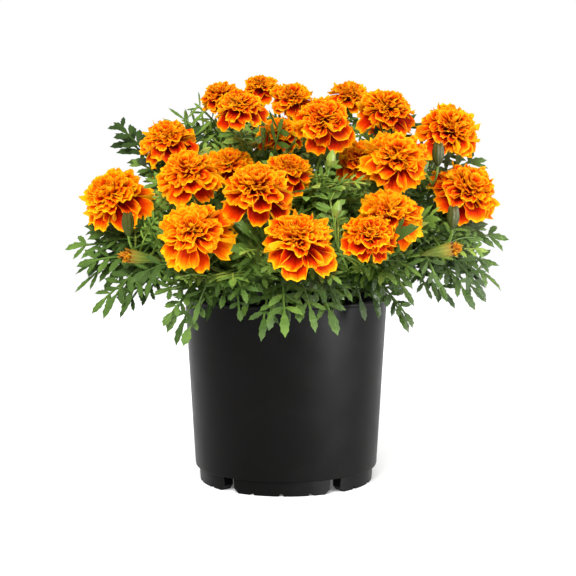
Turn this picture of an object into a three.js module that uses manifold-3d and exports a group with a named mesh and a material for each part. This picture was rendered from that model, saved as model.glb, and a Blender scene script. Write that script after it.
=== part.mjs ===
// A potted french marigold: a round nursery pot of potting mix, with eighteen leafy stems, thirty-one blooms
// and a few buds. Millimetres, +Z up, origin at the middle of the pot's underside, front of the plant at -Y.
import * as THREE from "three";
import { mergeVertices } from "three/addons/utils/BufferGeometryUtils.js";
import Module from "manifold-3d";

const wasm = await Module();
wasm.setup();

// Pot
const POT_HEIGHT = 151;
const RIM_RADIUS = 84;
const BASE_RADIUS = 74.8;
const WALL = 1.8;
const RIM_BEAD = 1.4;
const RIM_TALL = 3;
const RIM_FACE = 2;
const RIM_ROUND = 0.4;
const POT_SIDES = 30;
const FOOT_COUNT = 5;
const FOOT_HEIGHT = 12;
const FOOT_RADIUS = 71.9;
const FOOT_DEPTH = 10;
const FOOT_GAP = 10;
const FOOT_CHAMFER = 4;
const FOOT_TURN = -3;
const FOOT_TAPER = 1;
const FLOOR = 2;
const NOTCH_TURNS = [-19, 0, 19];
const NOTCH_DEPTH = 2;
const DRAIN_RADIUS = 5;
const DRAIN_SIDES = 8;
const CUT_PAST = 2;

// Potting mix
const SOIL_TOP = 133;
const SOIL_SIDES = 18;
const SOIL_RINGS = [0.66, 0.33];
const LUMP_TALL = 1.6;
const LUMP_WIDE = 9;
const CRUMB_TALL = 0.8;
const CRUMB_WIDE = 4;
const CLEAR = 0.3;
const STEM_DEPTH = 16;
const HOLE_TALL = 40;

// Stems, flower stalks and flower cups
const STEM_SIDES = 5;
const STALK_SIDES = 4;
const STEM_FOOT_RADIUS = 2.8;
const STEM_TOP_RADIUS = 1.9;
const STEM_RISE = 4;
const STEM_BEND = { across: 0.25, up: 0.8 };
const STEM_PIECE = 36;
const STALK_RADIUS = 1.3;
const STALK_REACH = 0.4;
const STALK_PIECES = 2;
const CUP_RADIUS = 4.6;
const CUP_LENGTH = 15;
const CUP_TOP = -3.2;
// The cup's outline below its top, and the bud's about its middle: shares of the length and of the radius.
const CUP_STEPS = [[0.7, 0.72], [0.3, 1], [0, 0.68]];
const BUD_STEPS = [[-0.25, 0.82], [0.1, 1]];
const BUD_TIP = { open: 0.8, shut: 0.2 };

// Leaves
const BLADE = 0.8;
const RIB_WIDTH = 1.8;
const PETIOLE_THICK = 1.4;
const LEAFLET_ANGLE = 54;
const LEAFLET_SHARE = 0.31;
const LEAFLET_WIDTH = 0.44;
const LEAFLET_SHOULDER = 0.6;
const LEAFLET_GRIP = 1.2;
const END_LEAFLET = 0.9;
const LONG_LEAF = 72;
const LONG_PAIRS = [0.37, 0.53, 0.69];
const SHORT_PAIRS = [0.42, 0.64];
const LEAF_NECK = 0.8;
const LEAF_SHOULDER = 0.9;
const LEAF_LOOK = 0.8;
const TURN_LINE = 20;

// The room that leaves keep from blooms, pot, mix, stems and each other
const LEAF_GAP = 6;
const OWN_LEAF_GAP = 2.5;
const STEM_GAP = 5.5;
const BLOOM_ROOM = { out: 6, along: 5, above: 0.78, below: 0.55 };
const POT_ROOM = { out: 5, above: 4, rim: 8, mix: 5 };
const LINE_SHARES = [0, 0.25, 0.5, 0.75, 1];
const TURNS = [0, 8, -8, 16, -16, 24, -24, 32, -32];
const LIFTS = [0, 10, -8, 20, -16];

// Petals
const PETAL = 0.7;
const SMALL_BLOOM = 21;
const BLOOM_SPIN = 29;
const CORE_RADIUS = 3.2;
const CORE_SIDES = 5;

// Each bloom: middle of the flower, radius, the way it faces round the plant, how far it leans from upright.
const BLOOMS = {
  bloom_01: { at: [-93, -30, 276], radius: 23, faces: -108, leans: 30 },
  bloom_02: { at: [-73, -86, 250], radius: 24, faces: -102, leans: 36 },
  bloom_03: { at: [-135, -45, 232], radius: 27.5, faces: -118, leans: 48 },
  bloom_04: { at: [-36, -50, 301], radius: 20.5, faces: -96, leans: 30 },
  bloom_05: { at: [-54, 34, 313], radius: 19, faces: -110, leans: 28 },
  bloom_06: { at: [-21, 68, 323], radius: 17, faces: -95, leans: 26 },
  bloom_07: { at: [5, 20, 311], radius: 19, faces: -88, leans: 38 },
  bloom_08: { at: [29, -55, 289], radius: 24, faces: -88, leans: 42 },
  bloom_09: { at: [53, 36, 314], radius: 18.5, faces: -80, leans: 28 },
  bloom_10: { at: [80, -25, 300], radius: 23, faces: -76, leans: 36 },
  bloom_11: { at: [131, -15, 285], radius: 24.5, faces: -68, leans: 48 },
  bloom_12: { at: [84, -70, 261], radius: 26, faces: -76, leans: 42 },
  bloom_13: { at: [58, -36, 262], radius: 18, faces: -100, leans: 42 },
  bloom_14: { at: [-44, -40, 256], radius: 20.5, faces: -85, leans: 34 },
  bloom_15: { at: [-21, -110, 238], radius: 27.5, faces: -92, leans: 37 },
  bloom_16: { at: [2, -64, 252], radius: 19.5, faces: -80, leans: 30 },
  bloom_17: { at: [-67, -120, 206], radius: 28.5, faces: -100, leans: 48 },
  bloom_18: { at: [9, -138, 202], radius: 27.5, faces: -88, leans: 34 },
  bloom_19: { at: [60, -144, 206], radius: 20, faces: -80, leans: 46 },
  bloom_20: { at: [78, -98, 219], radius: 26, faces: -72, leans: 28 },
  bloom_21: { at: [141, -45, 236], radius: 27.5, faces: -62, leans: 50 },
  bloom_22: { at: [-5, -12, 282], radius: 18, faces: -90, leans: 38 },
  bloom_23: { at: [-140, 36, 224], radius: 23, faces: 165, leans: 38 },
  bloom_24: { at: [-100, 88, 250], radius: 23, faces: 139, leans: 36 },
  bloom_25: { at: [-48, 136, 208], radius: 26, faces: 109, leans: 40 },
  bloom_26: { at: [-42, 98, 280], radius: 21, faces: 113, leans: 32 },
  bloom_27: { at: [28, 138, 206], radius: 24, faces: 79, leans: 40 },
  bloom_28: { at: [24, 96, 284], radius: 22, faces: 76, leans: 32 },
  bloom_29: { at: [92, 106, 228], radius: 25, faces: 49, leans: 38 },
  bloom_30: { at: [140, 40, 228], radius: 20, faces: 16, leans: 38 },
  bloom_31: { at: [82, 62, 282], radius: 20, faces: 37, leans: 32 },
};

// Each bud: the middle of its green cup, its radius and length, the way it points and how far it leans.
// An open bud has a tuft of petals at its tip.
const BUDS = {
  bud_left: { at: [-107, -69, 186], radius: 5.2, length: 24, faces: 190, leans: 82, open: true },
  bud_right: { at: [113, -86, 192], radius: 5.2, length: 24, faces: -8, leans: 80, open: true },
  bud_c: { at: [-120, -76, 212], radius: 4.4, length: 17, faces: -90, leans: 14 },
  bud_d: { at: [118, -52, 265], radius: 4.4, length: 17, faces: -90, leans: 12 },
  bud_e: { at: [127, -77, 217], radius: 4.4, length: 17, faces: -90, leans: 14 },
  bud_f: { at: [34, -84, 262], radius: 3.6, length: 14, faces: -60, leans: 20 },
  bud_g: { at: [37, -128, 226], radius: 3.4, length: 13, faces: -60, leans: 18 },
};

// Each leafy stem: its foot in the soil, its top, the flowers it carries with the place along it where each
// stalk leaves, and its leaves, each with its place along the stem, its tip and the height of its arch.
const STEMS = {
  stem_01: {
    foot: [-30, -40],
    top: [-50, -84, 170],
    carries: { bloom_17: 1 },
    leaves: [
      [0.62, [-82, -112, 124], 26],
      [0.8, [-116, -104, 150], 16],
      [0.9, [-28, -138, 158], 12],
    ],
  },
  stem_02: {
    foot: [-2, -38],
    top: [-6, -88, 176],
    carries: { bloom_15: 1, bloom_18: 0.86 },
    leaves: [
      [0.6, [-18, -134, 138], 22],
      [0.7, [38, -130, 134], 24],
    ],
  },
  stem_03: {
    foot: [30, -38],
    top: [46, -86, 176],
    carries: { bloom_19: 1, bud_g: 0.92 },
    leaves: [
      [0.6, [92, -100, 132], 26],
      [0.85, [92, -128, 168], 14],
    ],
  },
  stem_04: {
    foot: [52, -14],
    top: [92, -44, 184],
    carries: { bloom_21: 1, bud_right: 0.94, bud_e: 1 },
    leaves: [
      [0.7, [172, -34, 158], 22],
      [0.82, [145, -74, 146], 24],
      [0.95, [179, -24, 198], 10],
    ],
  },
  stem_05: {
    foot: [46, 10],
    top: [92, -12, 226],
    carries: { bloom_11: 1, bud_d: 0.92 },
    leaves: [
      [0.9, [166, -4, 262], 8],
      [0.7, [160, 12, 214], 14],
    ],
  },
  stem_06: {
    foot: [28, -18],
    top: [62, -54, 200],
    carries: { bloom_20: 0.9, bloom_12: 1 },
    leaves: [
      [0.95, [104, -40, 240], 6],
    ],
  },
  stem_07: {
    foot: [8, -16],
    top: [14, -46, 222],
    carries: { bloom_16: 0.9, bloom_08: 1, bud_f: 1 },
    leaves: [
      [0.92, [42, -104, 240], 6],
      [0.75, [24, -112, 214], 8],
    ],
  },
  stem_08: {
    foot: [28, 2],
    top: [56, -8, 236],
    carries: { bloom_13: 0.88, bloom_10: 1 },
    leaves: [
      [0.95, [108, 20, 276], 6],
    ],
  },
  stem_09: {
    foot: [6, 14],
    top: [8, 22, 262],
    carries: { bloom_07: 1, bloom_09: 0.94 },
    leaves: [
      [0.96, [28, 2, 300], 4],
      [0.8, [40, 60, 262], 8],
    ],
  },
  stem_10: {
    foot: [-10, 0],
    top: [-16, 2, 236],
    carries: { bloom_22: 1, bloom_04: 0.92 },
    leaves: [
      [0.85, [-50, 26, 272], 8],
    ],
  },
  stem_11: {
    foot: [-42, 4],
    top: [-74, -14, 216],
    carries: { bloom_01: 1, bloom_14: 0.9 },
    leaves: [
      [0.9, [-140, -8, 284], 8],
      [0.98, [-80, 2, 300], 6],
      [0.7, [-130, -6, 214], 10],
    ],
  },
  stem_12: {
    foot: [-52, -14],
    top: [-88, -44, 180],
    carries: { bloom_03: 1, bud_left: 0.92, bud_c: 1 },
    leaves: [
      [0.7, [-168, -34, 156], 22],
      [0.82, [-140, -76, 140], 24],
      [0.95, [-177, -26, 190], 10],
    ],
  },
  stem_13: {
    foot: [-28, -20],
    top: [-52, -56, 200],
    carries: { bloom_02: 1 },
    leaves: [
      [0.8, [-28, -98, 206], 8],
      [0.75, [-98, -88, 206], 10],
    ],
  },
  stem_14: {
    foot: [-44, 24],
    top: [-92, 50, 190],
    carries: { bloom_23: 1, bloom_24: 0.9 },
    leaves: [
      [0.72, [-158, 62, 148], 22],
      [0.9, [-142, 92, 196], 10],
    ],
  },
  stem_15: {
    foot: [-16, 38],
    top: [-36, 84, 196],
    carries: { bloom_25: 0.9, bloom_26: 1 },
    leaves: [
      [0.62, [-78, 128, 130], 24],
      [0.8, [-4, 150, 160], 14],
    ],
  },
  stem_16: {
    foot: [16, 36],
    top: [24, 74, 214],
    carries: { bloom_27: 0.8, bloom_28: 1 },
    leaves: [
      [0.6, [64, 138, 130], 24],
    ],
  },
  stem_17: {
    foot: [42, 28],
    top: [84, 62, 194],
    carries: { bloom_29: 1, bloom_30: 0.9, bloom_31: 0.96 },
    leaves: [
      [0.7, [152, 76, 150], 22],
      [0.8, [122, 118, 170], 12],
    ],
  },
  stem_18: {
    foot: [-24, 20],
    top: [-32, 40, 258],
    carries: { bloom_05: 1, bloom_06: 0.96 },
    leaves: [
      [0.85, [-92, 50, 288], 8],
      [0.7, [-70, 96, 232], 10],
    ],
  },
};

const MATERIALS = {
  pot: new THREE.MeshStandardMaterial({ color: 0x1d1e20, roughness: 0.42, metalness: 0 }),
  soil: new THREE.MeshStandardMaterial({ color: 0x2a1d14, roughness: 0.95, metalness: 0 }),
  green: new THREE.MeshStandardMaterial({ color: 0x4c7a32, roughness: 0.6, metalness: 0 }),
  petals: new THREE.MeshStandardMaterial({ color: 0xf07a12, roughness: 0.55, metalness: 0 }),
};

const UP = new THREE.Vector3(0, 0, 1);
const vec = (p) => new THREE.Vector3(...p);
const radians = THREE.MathUtils.degToRad;

// A direction that leans from upright towards a bearing round the plant.
function leaning(faces, leans) {
  const flat = Math.sin(radians(leans));
  const turn = radians(faces);
  return new THREE.Vector3(flat * Math.cos(turn), flat * Math.sin(turn), Math.cos(radians(leans)));
}

function geometryOf(points, faces) {
  const geometry = new THREE.BufferGeometry();
  geometry.setAttribute("position", new THREE.Float32BufferAttribute(points.flatMap((p) => p.toArray()), 3));
  geometry.setIndex(faces.flat());
  return geometry;
}

function solidOf(geometry) {
  const bare = geometry.clone();
  bare.deleteAttribute("normal");
  bare.deleteAttribute("uv");
  const merged = mergeVertices(bare, 1e-4);
  const vertProperties = merged.attributes.position.array;
  const triVerts = new Uint32Array(merged.index.array);
  return new wasm.Manifold(new wasm.Mesh({ numProp: 3, vertProperties, triVerts }));
}

function geometryOfSolid(solid) {
  const mesh = solid.getMesh();
  const geometry = new THREE.BufferGeometry();
  geometry.setAttribute("position", new THREE.BufferAttribute(mesh.vertProperties, 3));
  geometry.setIndex(new THREE.BufferAttribute(mesh.triVerts, 1));
  return geometry;
}

const root = new THREE.Group();

function addPiece(name, geometry, material) {
  const mesh = new THREE.Mesh(geometry, material);
  mesh.name = name;
  root.add(mesh);
}

function lathe(profile, sides) {
  const geometry = new THREE.LatheGeometry(profile.map(([r, z]) => new THREE.Vector2(r, z)), sides);
  return geometry.rotateX(Math.PI / 2);
}

// A prism with its section in the XZ plane, running out along +Y from the axis, then turned round Z.
function radialPrism(outline, from, to, turn) {
  const shape = new THREE.Shape(outline.map(([x, z]) => new THREE.Vector2(x, z)));
  const prism = new THREE.ExtrudeGeometry(shape, { depth: to - from, bevelEnabled: false });
  return prism.rotateX(Math.PI / 2).translate(0, to, 0).rotateZ(radians(turn));
}

// The inner radius of the pot's wall at a height.
function potInside(z) {
  const share = (z - FOOT_HEIGHT) / (POT_HEIGHT - FOOT_HEIGHT);
  return BASE_RADIUS - WALL + share * (RIM_RADIUS - RIM_BEAD - BASE_RADIUS);
}

// The pot: a tapered wall with a beaded rim, a floor, and a ring cut into five feet.
function makePot() {
  const wall = solidOf(
    lathe(
      [
        [0, FOOT_HEIGHT],
        [BASE_RADIUS, FOOT_HEIGHT],
        [RIM_RADIUS - RIM_BEAD, POT_HEIGHT - RIM_TALL],
        [RIM_RADIUS, POT_HEIGHT - RIM_FACE],
        [RIM_RADIUS - RIM_ROUND, POT_HEIGHT],
        [potInside(POT_HEIGHT), POT_HEIGHT],
        [potInside(FOOT_HEIGHT + FLOOR), FOOT_HEIGHT + FLOOR],
        [0, FOOT_HEIGHT + FLOOR],
      ],
      POT_SIDES,
    ),
  );
  const footTop = FOOT_HEIGHT + FLOOR / 2;
  const ring = solidOf(
    lathe(
      [
        [FOOT_RADIUS - FOOT_DEPTH, footTop],
        [FOOT_RADIUS - FOOT_DEPTH, 0],
        [FOOT_RADIUS - FOOT_TAPER, 0],
        [FOOT_RADIUS, footTop],
        [FOOT_RADIUS - FOOT_DEPTH, footTop],
      ],
      POT_SIDES,
    ),
  );
  const half = FOOT_GAP / 2;
  const gap = [
    [-half - FOOT_CHAMFER, -CUT_PAST],
    [half + FOOT_CHAMFER, -CUT_PAST],
    [half, FOOT_HEIGHT / 3],
    [half, FOOT_HEIGHT],
    [-half, FOOT_HEIGHT],
    [-half, FOOT_HEIGHT / 3],
  ];
  const notch = [
    [-NOTCH_DEPTH, -CUT_PAST],
    [NOTCH_DEPTH, -CUT_PAST],
    [NOTCH_DEPTH / 2, NOTCH_DEPTH],
    [-NOTCH_DEPTH / 2, NOTCH_DEPTH],
  ];
  const inner = FOOT_RADIUS - FOOT_DEPTH - CUT_PAST;
  const outer = FOOT_RADIUS + CUT_PAST;
  let feet = ring;
  const drains = [];
  for (let i = 0; i < FOOT_COUNT; i++) {
    const middle = 180 + FOOT_TURN + (360 / FOOT_COUNT) * i;
    feet = feet.subtract(solidOf(radialPrism(gap, inner, outer, middle + 180 / FOOT_COUNT)));
    for (const turn of NOTCH_TURNS) {
      feet = feet.subtract(solidOf(radialPrism(notch, inner, outer, middle + turn)));
    }
    const drain = new THREE.CylinderGeometry(DRAIN_RADIUS, DRAIN_RADIUS, 4 * FLOOR, DRAIN_SIDES);
    drain.rotateX(Math.PI / 2).translate(0, FOOT_RADIUS - FOOT_DEPTH / 2, footTop);
    drains.push(solidOf(drain.rotateZ(radians(middle + 180 / FOOT_COUNT))));
  }
  let pot = wall.add(feet);
  for (const drain of drains) pot = pot.subtract(drain);
  addPiece("pot", geometryOfSolid(pot), MATERIALS.pot);
}

// The potting mix: it fills the pot to just below the rim, with a lumpy top and a plain hole for each stem.
function makeSoil() {
  const sideCut = Math.cos(Math.PI / POT_SIDES);
  const insideAt = (z) => (potInside(z) - CLEAR) * sideCut - CLEAR;
  const bottom = FOOT_HEIGHT + FLOOR + CLEAR;
  const profile = [
    [0, bottom],
    [insideAt(bottom), bottom],
    [insideAt(SOIL_TOP), SOIL_TOP],
    ...SOIL_RINGS.map((share) => [share * RIM_RADIUS, SOIL_TOP]),
    [0, SOIL_TOP],
  ];
  const geometry = mergeVertices(stripped(lathe(profile, SOIL_SIDES)), 1e-3);
  const spots = geometry.attributes.position;
  for (let i = 0; i < spots.count; i++) {
    const x = spots.getX(i);
    const y = spots.getY(i);
    if (spots.getZ(i) > SOIL_TOP - 1) spots.setZ(i, SOIL_TOP + soilLumps(x, y));
  }
  let soil = solidOf(geometry);
  for (const stem of Object.values(STEMS)) {
    const [x, y] = stem.foot;
    const wide = (STEM_FOOT_RADIUS + CLEAR) / Math.cos(Math.PI / STEM_SIDES);
    const hole = new THREE.CylinderGeometry(wide, wide, HOLE_TALL, STEM_SIDES);
    hole.rotateX(Math.PI / 2).translate(x, y, SOIL_TOP - STEM_DEPTH - CLEAR + HOLE_TALL / 2);
    soil = soil.subtract(solidOf(hole));
  }
  addPiece("soil", geometryOfSolid(soil), MATERIALS.soil);
}

function stripped(geometry) {
  geometry.deleteAttribute("normal");
  geometry.deleteAttribute("uv");
  return geometry;
}

// How far the top of the mix stands above its level: broad lumps with smaller ones on them.
function soilLumps(x, y) {
  const lump = Math.sin(x / LUMP_WIDE + 1) * Math.cos(y / (LUMP_WIDE - 1));
  const crumb = Math.sin(x / CRUMB_WIDE + y / (CRUMB_WIDE + 1));
  return LUMP_TALL * lump + CRUMB_TALL * crumb;
}

// A closed tube through the points, with a radius at each.
function tube(points, radii, sides) {
  const spots = [];
  const faces = [];
  let across = new THREE.Vector3(1, 0, 0);
  points.forEach((point, i) => {
    const before = points[Math.max(i - 1, 0)];
    const after = points[Math.min(i + 1, points.length - 1)];
    const along = after.clone().sub(before).normalize();
    across = across.clone().addScaledVector(along, -across.dot(along)).normalize();
    const other = along.clone().cross(across);
    for (let k = 0; k < sides; k++) {
      const angle = (2 * Math.PI * k) / sides;
      const out = across.clone().multiplyScalar(Math.cos(angle)).addScaledVector(other, Math.sin(angle));
      spots.push(point.clone().addScaledVector(out, radii[i]));
    }
  });
  for (let i = 0; i + 1 < points.length; i++) {
    for (let k = 0; k < sides; k++) {
      const a = i * sides + k;
      const b = i * sides + ((k + 1) % sides);
      faces.push([a, b, b + sides], [a, b + sides, a + sides]);
    }
  }
  const last = (points.length - 1) * sides;
  for (let k = 1; k + 1 < sides; k++) {
    faces.push([0, k + 1, k], [last, last + k, last + k + 1]);
  }
  return geometryOf(spots, faces);
}

// The main stem rises from its hole and bends out towards its top.
function stemCurve(stem) {
  const top = vec(stem.top);
  const foot = vec([...stem.foot, SOIL_TOP + STEM_RISE]);
  const bend = foot.clone().lerp(top, STEM_BEND.across);
  bend.z = THREE.MathUtils.lerp(foot.z, top.z, STEM_BEND.up);
  return new THREE.QuadraticBezierCurve3(foot, bend, top);
}

// A stalk leaves the stem along the stem's own direction and ends under its flower, along the flower's axis.
function stalkCurve(curve, place, end, axis) {
  const start = curve.getPoint(place);
  const reach = STALK_REACH * start.distanceTo(end);
  const leave = start.clone().addScaledVector(curve.getTangent(place), reach);
  const arrive = end.clone().addScaledVector(axis, -reach);
  return new THREE.CubicBezierCurve3(start, leave, arrive, end);
}

// The run of a stalk with its green cup, as points and radii.
function stalkRun(curve, place, name) {
  const bloom = BLOOMS[name];
  const bud = BUDS[name];
  const axis = leaning((bloom ?? bud).faces, (bloom ?? bud).leans);
  const middle = vec((bloom ?? bud).at);
  const steps = bloom
    ? [
        [CUP_TOP - CUP_LENGTH, STALK_RADIUS],
        ...CUP_STEPS.map(([down, wide]) => [CUP_TOP - down * CUP_LENGTH, wide * CUP_RADIUS]),
      ]
    : [
        [-bud.length / 2, STALK_RADIUS],
        ...BUD_STEPS.map(([up, wide]) => [up * bud.length, wide * bud.radius]),
        [bud.length / 2, (bud.open ? BUD_TIP.open : BUD_TIP.shut) * bud.radius],
      ];
  const end = middle.clone().addScaledVector(axis, steps[0][0]);
  const stalk = stalkCurve(curve, place, end, axis);
  const points = [];
  const radii = [];
  for (let i = 0; i < STALK_PIECES; i++) {
    points.push(stalk.getPoint(i / STALK_PIECES));
    radii.push(STALK_RADIUS);
  }
  for (const [along, radius] of steps) {
    points.push(middle.clone().addScaledVector(axis, along));
    radii.push(radius);
  }
  return { points, radii };
}

// The lines a leaf is built on: its arched rib, and the root and tip of each leaflet.
function leafPlan(base, tip, arch) {
  const chord = tip.clone().sub(base);
  const length = chord.length();
  const look = new THREE.Vector3(0, tip.y < TURN_LINE ? -LEAF_LOOK : LEAF_LOOK, 1);
  const side = chord.clone().cross(look).normalize();
  const rib = (t) => base.clone().addScaledVector(chord, t).addScaledVector(UP, 4 * arch * t * (1 - t));
  const along = (t) => chord.clone().addScaledVector(UP, 4 * arch * (1 - 2 * t)).normalize();
  const pairs = length > LONG_LEAF ? LONG_PAIRS : SHORT_PAIRS;
  const leaflet = LEAFLET_SHARE * length;
  const leaflets = pairs.flatMap((t, i) =>
    [-1, 1].map((hand) => {
      const forward = along(t);
      const out = forward.clone().multiplyScalar(Math.cos(radians(LEAFLET_ANGLE)));
      out.addScaledVector(side, hand * Math.sin(radians(LEAFLET_ANGLE)));
      const reach = leaflet * (i === 1 ? 1 : END_LEAFLET);
      const up = side.clone().cross(forward);
      const root = rib(t);
      return { t, hand, root, out, up, reach, tip: root.clone().addScaledVector(out, reach) };
    }),
  );
  return { base, length, side, rib, along, pairs, leaflets };
}

// A thin closed blade from its upper faces: its points lie in its middle, each with the way up there and
// half the thickness.
function blade(points, ups, halves, upper) {
  const count = points.length;
  const spots = [
    ...points.map((p, i) => p.clone().addScaledVector(ups[i], halves[i])),
    ...points.map((p, i) => p.clone().addScaledVector(ups[i], -halves[i])),
  ];
  const faces = [...upper, ...upper.map(([a, b, c]) => [a + count, c + count, b + count])];
  const edges = new Set(upper.flatMap(([a, b, c]) => [`${a} ${b}`, `${b} ${c}`, `${c} ${a}`]));
  for (const edge of edges) {
    const [a, b] = edge.split(" ").map(Number);
    if (!edges.has(`${b} ${a}`)) faces.push([a, a + count, b + count], [a, b + count, b]);
  }
  return geometryOf(spots, faces);
}

// A leaf: one thin arched blade cut to the rib between its leaflets, each widest past its middle.
function leafGeometry(plan) {
  const points = [];
  const ups = [];
  const halves = [];
  const upper = [];
  const put = (point, up, half) => {
    points.push(point);
    ups.push(up);
    halves.push(half);
    return points.length - 1;
  };
  const section = (t, half) => {
    const up = plan.side.clone().cross(plan.along(t));
    const edge = (hand) => plan.rib(t).addScaledVector(plan.side, (hand * RIB_WIDTH) / 2);
    return [1, -1].map((hand) => put(edge(hand), up, half));
  };
  const joinSections = (a, b) => upper.push([a[0], b[0], b[1]], [a[0], b[1], a[1]]);
  const thin = BLADE / 2;
  let last = section(0, PETIOLE_THICK / 2);
  const grip = LEAFLET_GRIP / plan.length;
  for (const t of plan.pairs) {
    const rear = section(t - grip, thin);
    const front = section(t + grip, thin);
    joinSections(last, rear);
    joinSections(rear, front);
    for (const leaflet of plan.leaflets.filter((l) => l.t === t)) {
      const across = leaflet.up.clone().cross(leaflet.out).multiplyScalar(leaflet.hand);
      const wide = (LEAFLET_WIDTH / 2) * leaflet.reach;
      const shoulder = leaflet.root.clone().addScaledVector(leaflet.out, LEAFLET_SHOULDER * leaflet.reach);
      const back = put(shoulder.addScaledVector(across, -wide), leaflet.up, thin);
      const tip = put(leaflet.tip.clone().addScaledVector(across, 0.5 * wide), leaflet.up, thin);
      const k = leaflet.hand === 1 ? 0 : 1;
      const ring = [rear[k], back, tip, front[k]];
      const turned = leaflet.hand === 1 ? ring : ring.reverse();
      upper.push([turned[0], turned[1], turned[2]], [turned[0], turned[2], turned[3]]);
    }
    last = front;
  }
  const neck = section(LEAF_NECK, thin);
  joinSections(last, neck);
  const up = plan.side.clone().cross(plan.along(1));
  const wide = (LEAFLET_WIDTH / 2) * LEAFLET_SHARE * plan.length;
  const right = put(plan.rib(LEAF_SHOULDER).addScaledVector(plan.side, wide), up, thin);
  const left = put(plan.rib(LEAF_SHOULDER).addScaledVector(plan.side, -wide), up, thin);
  const tip = put(plan.rib(1), up, thin);
  upper.push([neck[0], right, left], [neck[0], left, neck[1]], [right, tip, left]);
  return blade(points, ups, halves, upper);
}

// The straight pieces that stand for a leaf when its clearance is measured.
function leafLines(plan) {
  return [
    [plan.rib(0.12), plan.rib(0.5)],
    [plan.rib(0.5), plan.rib(1)],
    ...plan.leaflets.map((leaflet) => [leaflet.root, leaflet.tip]),
  ];
}

function clamp(value) {
  return Math.min(Math.max(value, 0), 1);
}

// The shortest distance between two straight pieces.
function lineDistance([p, q], [r, s]) {
  const u = q.clone().sub(p);
  const v = s.clone().sub(r);
  const w = p.clone().sub(r);
  const uu = u.dot(u);
  const vv = v.dot(v);
  const uv = u.dot(v);
  const uw = u.dot(w);
  const vw = v.dot(w);
  const det = uu * vv - uv * uv;
  let a = det > 1e-9 ? clamp((uv * vw - vv * uw) / det) : 0;
  const b = clamp((uv * a + vw) / vv);
  a = clamp((uv * b - uw) / uu);
  return p.clone().addScaledVector(u, a).sub(r.clone().addScaledVector(v, b)).length();
}

// How deep a point lies inside the space that a bloom needs, negative when it is clear.
function insideBloom(point, bloom) {
  const axis = leaning(bloom.faces, bloom.leans);
  const away = point.clone().sub(vec(bloom.at));
  const height = away.dot(axis);
  const out = Math.sqrt(Math.max(away.lengthSq() - height * height, 0));
  const high = (height > 0 ? BLOOM_ROOM.above : BLOOM_ROOM.below) * bloom.radius;
  return 1 - Math.hypot(out / (bloom.radius + BLOOM_ROOM.out), height / (high + BLOOM_ROOM.along));
}

function insidePot(point) {
  const out = Math.hypot(point.x, point.y);
  if (out > RIM_RADIUS + POT_ROOM.out) return false;
  const overRim = out > RIM_RADIUS - POT_ROOM.rim;
  return point.z < (overRim ? POT_HEIGHT + POT_ROOM.above : SOIL_TOP + POT_ROOM.mix);
}

const placedLeaves = [];
const tubesOf = {};

function leafIsClear(plan, name) {
  const lines = leafLines(plan);
  for (const [from, to] of lines) {
    for (const share of LINE_SHARES) {
      const point = from.clone().lerp(to, share);
      if (insidePot(point)) return false;
      if (Object.values(BLOOMS).some((bloom) => insideBloom(point, bloom) > 0)) return false;
    }
  }
  for (const [owner, tubes] of Object.entries(tubesOf)) {
    if (owner === name) continue;
    for (const line of lines) if (tubes.some((piece) => lineDistance(line, piece) < STEM_GAP)) return false;
  }
  return placedLeaves.every(({ owner, spots }) => {
    const need = owner === name ? OWN_LEAF_GAP : LEAF_GAP;
    return lines.every((line) => spots.every((other) => lineDistance(line, other) > need));
  });
}

// Ways to bend a leaf whose own place is taken, the slightest first: a turn round the stem in degrees, and a
// lift of its tip.
const BENDS = TURNS.flatMap((turn) => LIFTS.map((lift) => [turn, lift]));
BENDS.sort((a, b) => Math.abs(a[0]) + Math.abs(a[1]) - Math.abs(b[0]) - Math.abs(b[1]));

function placedLeaf(curve, [place, tip, arch], name) {
  const base = curve.getPoint(place);
  for (const [turn, lift] of BENDS) {
    const swung = vec(tip).sub(base).applyAxisAngle(UP, radians(turn)).add(base);
    swung.z += lift;
    const plan = leafPlan(base, swung, arch);
    if (leafIsClear(plan, name)) {
      placedLeaves.push({ owner: name, spots: leafLines(plan) });
      return plan;
    }
  }
  throw new Error(`no clear place for a leaf of ${name} at ${tip}`);
}

function stemRun(stem) {
  const curve = stemCurve(stem);
  const steps = Math.max(3, Math.round(curve.getLength() / STEM_PIECE));
  const [x, y] = stem.foot;
  const points = [new THREE.Vector3(x, y, SOIL_TOP - STEM_DEPTH)];
  const radii = [STEM_FOOT_RADIUS];
  for (let i = 0; i <= steps; i++) {
    points.push(curve.getPoint(i / steps));
    radii.push(THREE.MathUtils.lerp(STEM_FOOT_RADIUS, STEM_TOP_RADIUS, i / steps));
  }
  return { curve, points, radii };
}

const piecesOf = (points) => points.slice(1).map((point, i) => [points[i], point]);

// The leafy stems: each is fused from its main stem, its flower stalks and cups, its buds and its leaves.
function makeStems() {
  const runs = {};
  for (const [name, stem] of Object.entries(STEMS)) {
    const main = stemRun(stem);
    const stalks = Object.entries(stem.carries).map(([flower, place]) => stalkRun(main.curve, place, flower));
    runs[name] = { main, stalks };
    tubesOf[name] = [main, ...stalks].flatMap((run) => piecesOf(run.points));
  }
  for (const [name, stem] of Object.entries(STEMS)) {
    const { main, stalks } = runs[name];
    const solids = stalks.map((run) => solidOf(tube(run.points, run.radii, STALK_SIDES)));
    solids.push(solidOf(tube(main.points, main.radii, STEM_SIDES)));
    for (const leaf of stem.leaves) solids.push(solidOf(leafGeometry(placedLeaf(main.curve, leaf, name))));
    addPiece(name, geometryOfSolid(wasm.Manifold.union(solids)), MATERIALS.green);
  }
}

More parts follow.
